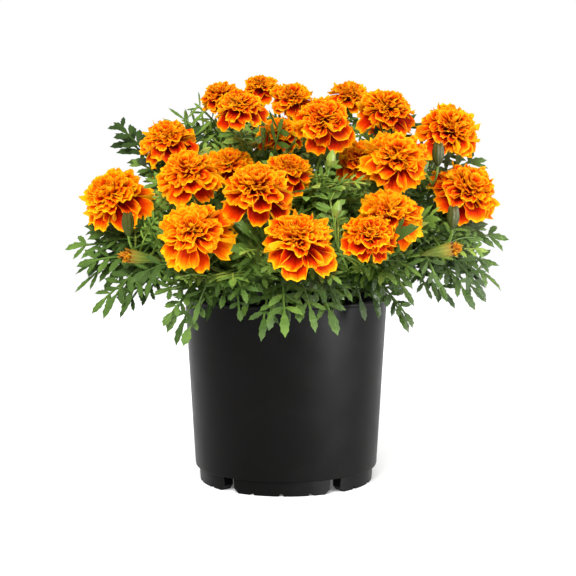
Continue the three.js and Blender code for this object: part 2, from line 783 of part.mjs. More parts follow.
// Joins two rings of points that both go round in order of angle, the first towards the bottom of the flower.
function zip(lower, upper, faces) {
  let i = 0;
  let j = 0;
  const angle = (ring, k) => ring[k % ring.length].angle + 2 * Math.PI * Math.floor(k / ring.length);
  const index = (ring, k) => ring[k % ring.length].index;
  while (i < lower.length || j < upper.length) {
    const lowerMiddle = angle(lower, i) + angle(lower, i + 1);
    const upperMiddle = angle(upper, j) + angle(upper, j + 1);
    if (j >= upper.length || (i < lower.length && lowerMiddle <= upperMiddle)) {
      faces.push([index(lower, i), index(lower, i + 1), index(upper, j)]);
      i += 1;
    } else {
      faces.push([index(lower, i), index(upper, j + 1), index(upper, j)]);
      j += 1;
    }
  }
}

// One layer of petals, as the corners of its outline: the cut before each petal, then the petal's corners.
function petalOutline(layer, petals, radius, turn) {
  const pitch = (2 * Math.PI) / petals;
  const corners = [];
  for (let i = 0; i < petals; i++) {
    const middle = turn + (i + 0.5) * pitch;
    const wave = i % 2 ? 1 : -1;
    corners.push({ angle: middle - 0.5 * pitch, r: layer.cut * radius, z: layer.cutHeight * radius });
    layer.corners.forEach(([share, reach, height], k) => {
      const ruffle = layer.ruffle * wave * (k % 2 ? -1 : 1);
      corners.push({ angle: middle + share * pitch, r: reach * radius, z: (height + ruffle) * radius });
    });
  }
  return corners;
}

// The outer rays droop, the next petals spread, and the crest is a frilled dome.
// Each corner of a petal is its place across the petal, its reach and its height; the waist above a layer is
// its reach and height. All but the counts are shares of the bloom's radius or of a petal's angle.
const PETAL_LAYERS = [
  {
    petals: 7,
    petalsIfSmall: 6,
    cut: 0.45,
    cutHeight: -0.06,
    ruffle: 0.04,
    corners: [[-0.32, 0.93, -0.3], [0, 0.97, -0.36], [0.32, 0.95, -0.26]],
    waist: [0.24, 0.1],
  },
  {
    petals: 5,
    petalsIfSmall: 5,
    cut: 0.4,
    cutHeight: 0.14,
    ruffle: 0.06,
    corners: [[-0.3, 0.8, 0.02], [0.3, 0.82, 0.06]],
    waist: [0.3, 0.24],
  },
];
// Each ring of the crest zigzags between the frill's tips and the folds between them, as reach and height.
const CREST_RINGS = [
  { tip: [0.68, 0.36], fold: [0.42, 0.4] },
  { tip: [0.4, 0.76], fold: [0.2, 0.5] },
];
const CREST_POINTS = 5;
const CREST_PEAK = 0.62;

// A bloom: layers of petals round a narrow core, from the drooping outer rays to the frilled crest.
function bloomGeometry(bloom, turn) {
  const points = [];
  const faces = [];
  const radius = bloom.radius;
  const put = (corner, lift) => {
    const { angle, r, z } = corner;
    points.push(new THREE.Vector3(r * Math.cos(angle), r * Math.sin(angle), z + lift));
    return { angle, index: points.length - 1 };
  };
  const circle = (count, r, z) =>
    Array.from({ length: count }, (_, i) => put({ angle: turn + (2 * Math.PI * i) / count, r, z }, 0));
  const [pole] = circle(1, 0, CUP_TOP + CLEAR);
  let last = circle(CORE_SIDES, CORE_RADIUS, CUP_TOP + CLEAR);
  last.forEach((corner, i) => faces.push([pole.index, last[(i + 1) % last.length].index, corner.index]));
  for (const layer of PETAL_LAYERS) {
    const petals = radius > SMALL_BLOOM ? layer.petals : layer.petalsIfSmall;
    const outline = petalOutline(layer, petals, radius, turn);
    const under = outline.map((corner) => put(corner, -PETAL / 2));
    const over = outline.map((corner) => put(corner, PETAL / 2));
    const waist = circle(petals, layer.waist[0] * radius, layer.waist[1] * radius);
    zip(last, under, faces);
    zip(under, over, faces);
    zip(over, waist, faces);
    last = waist;
  }
  CREST_RINGS.forEach(({ tip, fold }, k) => {
    const ring = Array.from({ length: 2 * CREST_POINTS }, (_, i) => {
      const [r, z] = (i + k) % 2 ? tip : fold;
      return put({ angle: turn + (Math.PI * i) / CREST_POINTS, r: r * radius, z: z * radius }, 0);
    });
    zip(last, ring, faces);
    last = ring;
  });
  const [peak] = circle(1, 0, CREST_PEAK * radius);
  last.forEach((corner, i) => faces.push([corner.index, last[(i + 1) % last.length].index, peak.index]));
  return geometryOf(points, faces);
}

function seated(geometry, at, faces, leans) {
  const turn = new THREE.Quaternion().setFromUnitVectors(UP, leaning(faces, leans));
  return geometry.applyQuaternion(turn).translate(...at);
}

function makeBlooms() {
  Object.entries(BLOOMS).forEach(([name, bloom], i) => {
    const geometry = bloomGeometry(bloom, radians(BLOOM_SPIN * i));
    addPiece(name, seated(geometry, bloom.at, bloom.faces, bloom.leans), MATERIALS.petals);
  });
}

// The tuft of an open bud: rings that zigzag between the tips of its petals and the folds between them. Their
// reaches are shares of the bud's radius, and their heights are above the end of its green cup.
const TUFT_RINGS = [
  { tip: 0.62, fold: 0.62, up: CLEAR, wave: 0 },
  { tip: 1, fold: 0.8, up: 6, wave: 0.6 },
  { tip: 0.86, fold: 0.6, up: 12, wave: 0.6 },
];
const TUFT_POINTS = 5;
const TUFT_DIMPLE = 9;

// The petals that push out of an opening bud: a narrow tuft with a ragged end.
function tuftGeometry(bud) {
  const cupEnd = bud.length / 2;
  const points = [];
  const faces = [];
  const put = (angle, out, up) => {
    points.push(new THREE.Vector3(out * Math.cos(angle), out * Math.sin(angle), cupEnd + up));
    return { angle, index: points.length - 1 };
  };
  const rings = TUFT_RINGS.map(({ tip, fold, up, wave }) =>
    Array.from({ length: 2 * TUFT_POINTS }, (_, i) => {
      const angle = (Math.PI * i) / TUFT_POINTS;
      return i % 2 ? put(angle, fold * bud.radius, up - wave) : put(angle, tip * bud.radius, up + wave);
    }),
  );
  const foot = put(0, 0, TUFT_RINGS[0].up);
  const dimple = put(0, 0, TUFT_DIMPLE);
  const next = (ring, i) => ring[(i + 1) % ring.length].index;
  rings[0].forEach((corner, i) => faces.push([foot.index, next(rings[0], i), corner.index]));
  zip(rings[0], rings[1], faces);
  zip(rings[1], rings[2], faces);
  rings[2].forEach((corner, i) => faces.push([corner.index, next(rings[2], i), dimple.index]));
  return geometryOf(points, faces);
}

function makeTufts() {
  for (const [name, bud] of Object.entries(BUDS)) {
    if (!bud.open) continue;
    const tuft = seated(tuftGeometry(bud), bud.at, bud.faces, bud.leans);
    addPiece(`${name}_petals`, tuft, MATERIALS.petals);
  }
}

makePot();
makeSoil();
makeStems();
makeBlooms();
makeTufts();

export default root;
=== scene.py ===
# A potted french marigold: frilled orange and gold flower heads over feathery cut leaves, rooted in potting
# mix in a round black nursery pot. The plant's sizes are in millimetres, and each finished mesh is brought to
# metres. The studio's sizes are in metres.
import math
import random

import bpy
import numpy as np
from mathutils import Matrix, Vector


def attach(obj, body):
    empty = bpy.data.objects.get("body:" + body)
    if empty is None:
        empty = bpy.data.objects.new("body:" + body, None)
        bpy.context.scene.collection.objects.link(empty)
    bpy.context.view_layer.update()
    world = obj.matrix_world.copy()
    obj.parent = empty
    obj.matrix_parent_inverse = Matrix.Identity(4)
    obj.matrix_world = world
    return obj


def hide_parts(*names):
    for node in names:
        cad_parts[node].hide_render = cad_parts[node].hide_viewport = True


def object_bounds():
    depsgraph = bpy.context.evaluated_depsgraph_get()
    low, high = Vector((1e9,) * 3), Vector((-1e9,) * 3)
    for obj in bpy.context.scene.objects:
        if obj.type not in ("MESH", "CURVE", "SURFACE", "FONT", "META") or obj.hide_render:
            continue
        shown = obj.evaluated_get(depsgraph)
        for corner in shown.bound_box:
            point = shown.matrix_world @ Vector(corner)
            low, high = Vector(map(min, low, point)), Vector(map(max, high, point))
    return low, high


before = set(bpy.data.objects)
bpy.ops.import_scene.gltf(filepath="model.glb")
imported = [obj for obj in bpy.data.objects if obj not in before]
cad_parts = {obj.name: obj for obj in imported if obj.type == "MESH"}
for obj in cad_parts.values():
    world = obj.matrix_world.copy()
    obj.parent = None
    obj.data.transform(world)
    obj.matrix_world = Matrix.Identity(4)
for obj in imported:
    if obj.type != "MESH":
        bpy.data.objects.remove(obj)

cad_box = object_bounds()

# The studio: a white floor in a white room, with light from all round, a soft lamp high in front, a weak one
# on the right and a strip that only shows as the sheen on the pot. The camera stands 1.1 m in front of the
# pot, about level with its leaves, and looks slightly down.
IMAGE_WIDTH = 576
FOCAL_LENGTH = 1346
CAMERA_PLACE = (0.0016, -1.1, 0.257)
CAMERA_DIP = 5.2
FLOOR_HALF = 1.5
FLOOR_WHITE = (0.97, 0.97, 0.97, 1)
FLOOR_GLOW = 0.12
ROOM_IN_FRONT = 0.3
ROOM_BEHIND = 1.0
ROOM_FRONT_TO_BACK = (-0.5, 0.6)
ROOM_ABOVE = 0.4
ROOM_UPWARDS = (0.1, 0.9)
LAMPS = {
    "lamp_right": {"place": (1.5, -0.7, 0.7), "wide": 0.6, "tall": 1.0, "power": 8, "diffuse": True},
    "lamp_above": {"place": (-0.4, -1.5, 1.5), "wide": 1.2, "tall": 1.0, "power": 58, "diffuse": True},
    "lamp_strip": {"place": (1.35, -0.95, 0.2), "wide": 0.25, "tall": 0.38, "power": 310, "diffuse": False},
}
LAMP_AIM = (0, 0, 0.2)

scene = bpy.context.scene
scene.view_settings.view_transform = "Standard"
camera = bpy.data.objects.new("camera", bpy.data.cameras.new("camera"))
camera.data.lens = camera.data.sensor_width * FOCAL_LENGTH / IMAGE_WIDTH
camera.location = CAMERA_PLACE
camera.rotation_euler = (math.radians(90 - CAMERA_DIP), 0, 0)
scene.collection.objects.link(camera)
scene.camera = camera

for name, lamp in LAMPS.items():
    light = bpy.data.objects.new(name, bpy.data.lights.new(name, "AREA"))
    light.data.shape = "RECTANGLE"
    light.data.size = lamp["wide"]
    light.data.size_y = lamp["tall"]
    light.data.energy = lamp["power"]
    light.location = lamp["place"]
    light.visible_diffuse = lamp["diffuse"]
    light.rotation_euler = (Vector(LAMP_AIM) - Vector(lamp["place"])).to_track_quat("-Z", "Y").to_euler()
    scene.collection.objects.link(light)


def socket_of(sockets, key):
    """A node's socket by its place, or by its name among those that its settings show."""
    if isinstance(key, int):
        return sockets[key]
    return next(s for s in sockets if s.enabled and s.name == key)


def add_node(tree, kind, inputs=None, out=0, **settings):
    """Adds a node, sets it up, fills or links its inputs, and returns one of its outputs, or itself."""
    node = tree.nodes.new(kind)
    for name, value in settings.items():
        setattr(node, name, value)
    for key, value in (inputs or {}).items():
        socket = socket_of(node.inputs, key)
        if isinstance(value, bpy.types.NodeSocket):
            tree.links.new(value, socket)
        else:
            socket.default_value = value
    if out is None:
        return node
    shown = [s for s in node.outputs if s.enabled]
    return socket_of(node.outputs, out) if isinstance(out, str) else shown[out]


def new_material(name, **values):
    """A material with its Principled shader, whose plain sockets are given by name."""
    material = bpy.data.materials.new(name)
    material.use_nodes = True
    shader = material.node_tree.nodes["Principled BSDF"]
    for key, value in values.items():
        shader.inputs[key.replace("_", " ")].default_value = value
    return material, material.node_tree, shader


def math_node(tree, operation, *values):
    """The result of a sum on fields and numbers."""
    return add_node(tree, "ShaderNodeMath", dict(enumerate(values)), operation=operation)


def carried(tree, value, low, high, to_low=0.0, to_high=1.0, kind="LINEAR"):
    """A value carried from one range to another and held at its ends."""
    facts = {"Value": value, "From Min": low, "From Max": high, "To Min": to_low, "To Max": to_high}
    return add_node(tree, "ShaderNodeMapRange", facts, interpolation_type=kind)


# The room is brightest above, white behind the plant and dimmer behind the camera, and it looks white itself.
world = bpy.data.worlds.new("studio")
world.use_nodes = True
tree = world.node_tree
way = add_node(tree, "ShaderNodeTexCoord", out="Generated")
way = add_node(tree, "ShaderNodeSeparateXYZ", {0: way}, out=None)
front_to_back = carried(tree, way.outputs["Y"], *ROOM_FRONT_TO_BACK, ROOM_IN_FRONT, ROOM_BEHIND)
overhead = carried(tree, way.outputs["Z"], *ROOM_UPWARDS, 0.0, ROOM_ABOVE)
seen = add_node(tree, "ShaderNodeLightPath", out="Is Camera Ray")
room = math_node(tree, "MAXIMUM", math_node(tree, "ADD", front_to_back, overhead), seen)
tree.nodes["Background"].inputs["Color"].default_value = (1, 1, 1, 1)
tree.links.new(room, tree.nodes["Background"].inputs["Strength"])
scene.world = world

# The floor glows a little, which makes up for the light that the plant keeps from it.
floor_paint, _, _ = new_material(
    "floor_paint",
    Base_Color=FLOOR_WHITE,
    Roughness=0.9,
    Emission_Color=(1, 1, 1, 1),
    Emission_Strength=FLOOR_GLOW,
)
floor_mesh = bpy.data.meshes.new("floor")
corners = [(-1, -1), (1, -1), (1, 1), (-1, 1)]
floor_mesh.from_pydata([(FLOOR_HALF * x, FLOOR_HALF * y, 0) for x, y in corners], [], [(0, 1, 2, 3)])
floor_mesh.materials.append(floor_paint)
floor = bpy.data.objects.new("floor", floor_mesh)
scene.collection.objects.link(floor)


# The pot: one moulding of black plastic, with a straight tapered wall, a thin rolled lip and a flat bottom on
# five notched feet. Water leaves by a round hole in the bottom above each gap between two feet.
POT_HEIGHT = 151
RIM_RADIUS = 84
BASE_RADIUS = 74.8
WALL = 1.8
INNER_CORNER = 2
RIM_BEAD = 1.4
FOOT_COUNT = 5
FOOT_HEIGHT = 12
FOOT_RADIUS = 71.9
FOOT_DEPTH = 10
FOOT_GAP = 10
FOOT_CHAMFER = 4
FOOT_TURN = -3
FOOT_LEAN = 1
FOOT_STEP = 2
FLOOR = 2
NOTCH_TURNS = (-19, 0, 19)
NOTCH_HALF = 2
NOTCH_DEPTH = 2
DRAIN_RADIUS = 5
DRAIN_SIDES = 24
POT_SIDES = 180
POT_BLACK = (0.0024, 0.0024, 0.0022, 1)
POT_WORN_BLACK = (0.0031, 0.003, 0.003, 1)
POT_DUST = (0.035, 0.032, 0.028, 1)
DUST_SHARE = 0.02
POT_ROUGHNESS = (0.36, 0.4)
MM = 0.001


def mesh_of(name, points, faces, smooth_below=40, **attributes):
    """A mesh with smooth faces that meet sharply where they turn by more than an angle."""
    mesh = bpy.data.meshes.new(name)
    mesh.from_pydata([tuple(p) for p in points], [], [tuple(f) for f in faces])
    for key, values in attributes.items():
        mesh.attributes.new(key, "FLOAT", "POINT").data.foreach_set("value", np.asarray(values, np.float32))
    mesh.shade_smooth()
    mesh.set_sharp_from_angle(angle=math.radians(smooth_below))
    return mesh


def lathe(name, profile, sides):
    """A closed round mesh from a profile of radius and height that starts and ends on the axis."""
    points = [(0, 0, profile[0][1])]
    for radius, height in profile[1:-1]:
        for k in range(sides):
            angle = 2 * math.pi * k / sides
            points.append((radius * math.cos(angle), radius * math.sin(angle), height))
    points.append((0, 0, profile[-1][1]))
    faces = []
    for k in range(sides):
        here, there = 1 + k, 1 + (k + 1) % sides
        faces.append((0, there, here))
        for ring in range(len(profile) - 3):
            low, high = ring * sides, (ring + 1) * sides
            faces.append((low + here, low + there, high + there, high + here))
        top = (len(profile) - 3) * sides
        faces.append((top + here, top + there, len(points) - 1))
    return mesh_of(name, points, faces)


def pot_inside(height):
    """The radius of the inside of the wall at a height."""
    share = (height - FOOT_HEIGHT) / (POT_HEIGHT - FOOT_HEIGHT)
    return BASE_RADIUS - WALL + share * (RIM_RADIUS - RIM_BEAD - BASE_RADIUS)


def foot_mesh():
    """One foot: a curved block with chamfered ends and small notches in its lower edge, where it leans in."""
    half = math.pi / FOOT_COUNT - math.asin(FOOT_GAP / 2 / FOOT_RADIUS)
    slope = FOOT_CHAMFER / FOOT_RADIUS
    stations = [(-half, FOOT_CHAMFER), (-half + slope, 0)]
    for turn in NOTCH_TURNS:
        for side, rise in ((-1, 0), (-0.5, NOTCH_DEPTH), (0.5, NOTCH_DEPTH), (1, 0)):
            stations.append((math.radians(turn) + side * NOTCH_HALF / FOOT_RADIUS, rise))
    stations += [(half - slope, 0), (half, FOOT_CHAMFER)]
    fine = []
    for (a, low), (b, high) in zip(stations, stations[1:]):
        steps = max(1, round((b - a) / math.radians(FOOT_STEP)))
        fine += [(a + (b - a) * i / steps, low + (high - low) * i / steps) for i in range(steps)]
    fine.append(stations[-1])
    points = []
    inner, top = FOOT_RADIUS - FOOT_DEPTH, FOOT_HEIGHT + FLOOR / 2
    for angle, low in fine:
        outer = FOOT_RADIUS - FOOT_LEAN * (1 - low / FOOT_HEIGHT)
        for radius, height in ((inner, low), (outer, low), (FOOT_RADIUS, top), (inner, top)):
            points.append((radius * math.cos(angle), radius * math.sin(angle), height))
    faces = [(0, 1, 2, 3), (len(points) - 1, len(points) - 2, len(points) - 3, len(points) - 4)]
    for i in range(len(fine) - 1):
        for k in range(4):
            a, b = 4 * i + k, 4 * i + (k + 1) % 4
            faces.append((a, a + 4, b + 4, b))
    return mesh_of("foot", points, faces, 30)


def new_tree(name, sockets):
    """A tree of geometry nodes with named inputs, one geometry output, and its input and output nodes."""
    tree = bpy.data.node_groups.new(name, "GeometryNodeTree")
    tree.interface.new_socket("Geometry", in_out="INPUT", socket_type="NodeSocketGeometry")
    for key, kind in sockets.items():
        tree.interface.new_socket(key, in_out="INPUT", socket_type="NodeSocket" + kind)
    tree.interface.new_socket("Geometry", in_out="OUTPUT", socket_type="NodeSocketGeometry")
    entry = tree.nodes.new("NodeGroupInput")
    leave = tree.nodes.new("NodeGroupOutput")
    return tree, {s.name: s for s in entry.outputs if s.name}, leave.inputs[0]


def grown(name, start, tree, **values):
    """The plain mesh that a tree of nodes makes from a starting mesh."""
    maker = bpy.data.objects.new(name, start)
    scene.collection.objects.link(maker)
    modifier = maker.modifiers.new("growth", "NODES")
    modifier.node_group = tree
    for socket in tree.interface.items_tree:
        if socket.in_out == "INPUT" and socket.name in values:
            modifier[socket.identifier] = values[socket.name]
    made = maker.evaluated_get(bpy.context.evaluated_depsgraph_get())
    mesh = bpy.data.meshes.new_from_object(made)
    mesh.name = name
    maker.modifiers.remove(modifier)
    bpy.data.objects.remove(maker)
    return mesh


def settle(name, mesh, slot, *nodes):
    """Brings a finished mesh to metres and makes it a piece that stands for its CAD nodes."""
    mesh.transform(Matrix.Scale(MM, 4))
    piece = bpy.data.objects.new(name, mesh)
    scene.collection.objects.link(piece)
    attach(piece, "root")
    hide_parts(*nodes)
    return piece


def new_group(name, inputs, outputs):
    """A shader node group, with its input sockets by name and its output node."""
    group = bpy.data.node_groups.new(name, "ShaderNodeTree")
    for key, kind in inputs.items():
        group.interface.new_socket(key, in_out="INPUT", socket_type="NodeSocket" + kind)
    for key, kind in outputs.items():
        group.interface.new_socket(key, in_out="OUTPUT", socket_type="NodeSocket" + kind)
    entry = group.nodes.new("NodeGroupInput")
    leave = group.nodes.new("NodeGroupOutput")
    return group, {s.name: s for s in entry.outputs if s.name}, leave


# Mottling is the slow change of tone that no grown or moulded surface is without. It goes into the pot, the
# mix and all that is green.
mottle, given, result = new_group("mottle", {"Size": "Float", "Detail": "Float"}, {"Mask": "Float"})
place = add_node(mottle, "ShaderNodeTexCoord", out="Object")
frequency = math_node(mottle, "DIVIDE", 1.0, given["Size"])
facts = {"Vector": place, "Scale": frequency, "Detail": given["Detail"]}
noise = add_node(mottle, "ShaderNodeTexNoise", facts)
spread = carried(mottle, noise, 0.3, 0.7)
mottle.links.new(spread, result.inputs["Mask"])


def mottled(tree, size, detail=2.0):
    """The mottle group's mask in a material, with patches of a size in metres."""
    node = tree.nodes.new("ShaderNodeGroup")
    node.node_tree = mottle
    node.inputs["Size"].default_value = size
    node.inputs["Detail"].default_value = detail
    return node.outputs["Mask"]


def blend_colours(tree, share, low, high):
    """A mix of two colours, each a socket or four numbers."""
    mix = tree.nodes.new("ShaderNodeMix")
    mix.data_type = "RGBA"
    for socket, value in ((mix.inputs[0], share), (mix.inputs[6], low), (mix.inputs[7], high)):
        if isinstance(value, bpy.types.NodeSocket):
            tree.links.new(value, socket)
        else:
            socket.default_value = value
    return mix.outputs[2]


def ramp(tree, value, low, high, to_low=0.0, to_high=1.0):
    """A value carried smoothly from one range to another and held at its ends."""
    return carried(tree, value, low, high, to_low, to_high, "SMOOTHSTEP")


def bump(tree, shader, height, distance, strength=1.0):
    """A bump on the shader's normal."""
    facts = {"Height": height, "Distance": distance, "Strength": strength}
    tree.links.new(add_node(tree, "ShaderNodeBump", facts), shader.inputs["Normal"])


pot_plastic, tree, shader = new_material("pot_plastic", Specular_IOR_Level=0.045)
black = blend_colours(tree, mottled(tree, 0.035), POT_BLACK, POT_WORN_BLACK)
dust = ramp(tree, mottled(tree, 0.02, 6.0), 0.65, 1.0, 0.0, DUST_SHARE)
tree.links.new(blend_colours(tree, dust, black, POT_DUST), shader.inputs["Base Color"])
tree.links.new(ramp(tree, mottled(tree, 0.02, 4.0), 0, 1, *POT_ROUGHNESS), shader.inputs["Roughness"])
bump(tree, shader, mottled(tree, 0.0006, 1.0), 0.00002, 0.6)

# The wall in section: under the bottom, up the straight taper, round the lip and down the inside.
wall_outline = [
    (0, FOOT_HEIGHT),
    (BASE_RADIUS - 1.2, FOOT_HEIGHT),
    (BASE_RADIUS - 0.3, FOOT_HEIGHT + 0.4),
    (BASE_RADIUS + 0.05, FOOT_HEIGHT + 1.4),
    (RIM_RADIUS - RIM_BEAD - 0.1, POT_HEIGHT - 4.2),
    (RIM_RADIUS - RIM_BEAD + 0.1, POT_HEIGHT - 3.4),
    (RIM_RADIUS - 0.5, POT_HEIGHT - 3.1),
    (RIM_RADIUS - 0.1, POT_HEIGHT - 2.6),
    (RIM_RADIUS, POT_HEIGHT - 1.8),
    (RIM_RADIUS - 0.15, POT_HEIGHT - 0.8),
    (RIM_RADIUS - 0.8, POT_HEIGHT - 0.15),
    (RIM_RADIUS - 1.7, POT_HEIGHT),
    (RIM_RADIUS - 2.7, POT_HEIGHT - 0.4),
    (pot_inside(POT_HEIGHT) + 0.2, POT_HEIGHT - 1.4),
    (pot_inside(FOOT_HEIGHT + 3 * FLOOR), FOOT_HEIGHT + 3 * FLOOR),
    (pot_inside(FOOT_HEIGHT) - INNER_CORNER, FOOT_HEIGHT + FLOOR),
    (0, FOOT_HEIGHT + FLOOR),
]
wall = bpy.data.objects.new("wall", lathe("wall", wall_outline, POT_SIDES))
scene.collection.objects.link(wall)

# Five feet from one, turned round the pot's axis.
tree, given, leave = new_tree("ring_of_copies", {"Count": "Int", "Turn": "Float", "Material": "Material"})
spots = add_node(tree, "GeometryNodePoints", {"Count": given["Count"]})
step = math_node(tree, "DIVIDE", 2 * math.pi, given["Count"])
turned = math_node(tree, "MULTIPLY", add_node(tree, "GeometryNodeInputIndex"), step)
turned = math_node(tree, "ADD", turned, given["Turn"])
upright = add_node(tree, "ShaderNodeCombineXYZ", {"Z": turned})
copies = add_node(
    tree,
    "GeometryNodeInstanceOnPoints",
    {"Points": spots, "Instance": given["Geometry"], "Rotation": upright},
)
whole = add_node(tree, "GeometryNodeRealizeInstances", {"Geometry": copies})
dressed = add_node(tree, "GeometryNodeSetMaterial", {"Geometry": whole, "Material": given["Material"]})
tree.links.new(dressed, leave)
ring_of_copies = tree

foot_turn = math.radians(FOOT_TURN - 90)
feet_mesh = grown("feet", foot_mesh(), ring_of_copies, Count=FOOT_COUNT, Turn=foot_turn, Material=pot_plastic)

drill_from = FOOT_HEIGHT - 1.5 * FLOOR
drill_to = FOOT_HEIGHT + 3 * FLOOR
drill_outline = [(0, drill_from), (DRAIN_RADIUS, drill_from), (DRAIN_RADIUS, drill_to), (0, drill_to)]
drill = lathe("drill", drill_outline, DRAIN_SIDES)
drill.transform(Matrix.Translation((FOOT_RADIUS - FOOT_DEPTH / 2, 0, 0)))
drill_turn = foot_turn + math.pi / FOOT_COUNT
drills_mesh = grown("drills", drill, ring_of_copies, Count=FOOT_COUNT, Turn=drill_turn, Material=pot_plastic)
drills = bpy.data.objects.new("drills", drills_mesh)
scene.collection.objects.link(drills)
drilling = wall.modifiers.new("drain holes", "BOOLEAN")
drilling.operation = "DIFFERENCE"
drilling.object = drills
drilled = bpy.data.meshes.new_from_object(wall.evaluated_get(bpy.context.evaluated_depsgraph_get()))
bpy.data.objects.remove(wall)
bpy.data.objects.remove(drills)


def joined(name, meshes, material):
    """One mesh from several, all of one material."""
    makers = [bpy.data.objects.new("part", mesh) for mesh in meshes]
    for maker in makers:
        scene.collection.objects.link(maker)
    with bpy.context.temp_override(active_object=makers[0], selected_editable_objects=makers):
        bpy.ops.object.join()
    mesh = makers[0].data
    bpy.data.objects.remove(makers[0])
    mesh.name = name
    mesh.materials.clear()
    mesh.materials.append(material)
    return mesh


settle("nursery_pot", joined("nursery_pot", [drilled, feet_mesh], pot_plastic), "pot_plastic", "pot")


# The potting mix: dark composted bark and peat, pressed into the pot to a little below its rim. Its top is
# lumpy and strewn with loose crumbs, with a pale grain of perlite here and there.
SOIL_TOP = 133
LUMP_TALL = 1.6
LUMP_WIDE = 9
CRUMB_TALL = 0.8
CRUMB_WIDE = 4
CLEAR = 0.3
SOIL_RINGS = 26
SOIL_SPOKES = 96
CRUMBS_PER_MM2 = 0.085
CRUMB_SIZES = (0.5, 2.1)
CRUMB_SMALLNESS = 3.0
CRUMB_TUMBLE = (6.3, 6.3, 6.3)
CRUMB_SLOPE = 0.7
PERLITE_SHARE = 0.05
BARK_DARK = (0.012, 0.007, 0.004, 1)
BARK_PALE = (0.05, 0.03, 0.016, 1)
PERLITE = (0.55, 0.52, 0.46, 1)


def soil_lumps(x, y):
    """How far the top of the mix stands above its level."""
    lump = math.sin(x / LUMP_WIDE + 1) * math.cos(y / (LUMP_WIDE - 1))
    crumb = math.sin(x / CRUMB_WIDE + y / (CRUMB_WIDE + 1))
    return LUMP_TALL * lump + CRUMB_TALL * crumb


def attribute(tree, name):
    """A number that a mesh carries, as the material reads it."""
    return add_node(tree, "ShaderNodeAttribute", out="Fac", attribute_name=name)


potting_mix, tree, shader = new_material("potting_mix", Roughness=0.95, Specular_IOR_Level=0.2)
bark = blend_colours(tree, mottled(tree, 0.004, 6.0), BARK_DARK, BARK_PALE)
tree.links.new(blend_colours(tree, attribute(tree, "pale"), bark, PERLITE), shader.inputs["Base Color"])
bump(tree, shader, mottled(tree, 0.0012, 5.0), 0.0006)

inside_top = pot_inside(SOIL_TOP) - CLEAR
mix_bottom = FOOT_HEIGHT + FLOOR + CLEAR
inside_bottom = pot_inside(mix_bottom) - INNER_CORNER - CLEAR
mix_outline = [(0, mix_bottom), (inside_bottom, mix_bottom), (inside_top, SOIL_TOP)]
mix_outline += [(inside_top * (1 - i / SOIL_RINGS), SOIL_TOP) for i in range(1, SOIL_RINGS + 1)]
mix_mesh = lathe("mix", mix_outline, SOIL_SPOKES)
for vertex in mix_mesh.vertices:
    if vertex.co.z > SOIL_TOP / 2:
        vertex.co.z = SOIL_TOP + soil_lumps(vertex.co.x, vertex.co.y)

# A crumb is a rough eight-sided grain. The tree strews well over a thousand of them over the upward faces.
crumb_corners = [(1, 0.1, 0), (-0.9, 0, 0.2), (0.1, 0.7, 0.1), (0, -0.8, 0), (0.2, 0.1, 0.6), (-0.1, 0, -0.6)]
crumb_faces = [(0, 2, 4), (2, 1, 4), (1, 3, 4), (3, 0, 4), (2, 0, 5), (1, 2, 5), (3, 1, 5), (0, 3, 5)]
crumb = bpy.data.objects.new("crumb", mesh_of("crumb", crumb_corners, crumb_faces))

sockets = {
    "Crumb": "Object",
    "Density": "Float",
    "Smallest": "Float",
    "Largest": "Float",
    "Material": "Material",
}
tree, given, leave = new_tree("strewn_crumbs", sockets)
normal = add_node(tree, "ShaderNodeSeparateXYZ", {0: add_node(tree, "GeometryNodeInputNormal")}, out="Z")
upward = add_node(tree, "FunctionNodeCompare", {0: normal, 1: CRUMB_SLOPE}, operation="GREATER_THAN")
spots = add_node(
    tree,
    "GeometryNodeDistributePointsOnFaces",
    {"Mesh": given["Geometry"], "Selection": upward, "Density": given["Density"], "Seed": 4},
)


def random_value(tree, low, high, seed, kind="FLOAT"):
    """A random field between two values."""
    return add_node(tree, "FunctionNodeRandomValue", {"Min": low, "Max": high, "Seed": seed}, data_type=kind)


def stored(tree, geometry, name, value, domain="POINT"):
    """Geometry that carries a value under a name, for its material to read."""
    facts = {"Geometry": geometry, "Name": name, "Value": value}
    return add_node(tree, "GeometryNodeStoreNamedAttribute", facts, domain=domain, data_type="FLOAT")


size = math_node(tree, "POWER", random_value(tree, 0.0, 1.0, 5), CRUMB_SMALLNESS)
span = math_node(tree, "SUBTRACT", given["Largest"], given["Smallest"])
size = math_node(tree, "MULTIPLY_ADD", size, span, given["Smallest"])
one_crumb = {"Object": given["Crumb"], "As Instance": True}
shape = add_node(tree, "GeometryNodeObjectInfo", one_crumb, out="Geometry")
tumble = random_value(tree, (0, 0, 0), CRUMB_TUMBLE, 6, "FLOAT_VECTOR")
crumbs = add_node(
    tree,
    "GeometryNodeInstanceOnPoints",
    {"Points": spots, "Instance": shape, "Rotation": tumble, "Scale": size},
)
is_pale = math_node(tree, "GREATER_THAN", random_value(tree, 0.0, 1.0, 7), 1 - PERLITE_SHARE)
crumbs = stored(tree, crumbs, "pale", is_pale, "INSTANCE")
loose = add_node(tree, "GeometryNodeRealizeInstances", {"Geometry": crumbs})
everything = tree.nodes.new("GeometryNodeJoinGeometry")
tree.links.new(loose, everything.inputs[0])
tree.links.new(given["Geometry"], everything.inputs[0])
dressed = add_node(
    tree,
    "GeometryNodeSetMaterial",
    {"Geometry": everything.outputs[0], "Material": given["Material"]},
)
tree.links.new(dressed, leave)
mix = grown(
    "potting_mix",
    mix_mesh,
    tree,
    Crumb=crumb,
    Density=CRUMBS_PER_MM2,
    Smallest=CRUMB_SIZES[0],
    Largest=CRUMB_SIZES[1],
    Material=potting_mix,
)
settle("potting_mix", mix, "potting_mix", "soil")


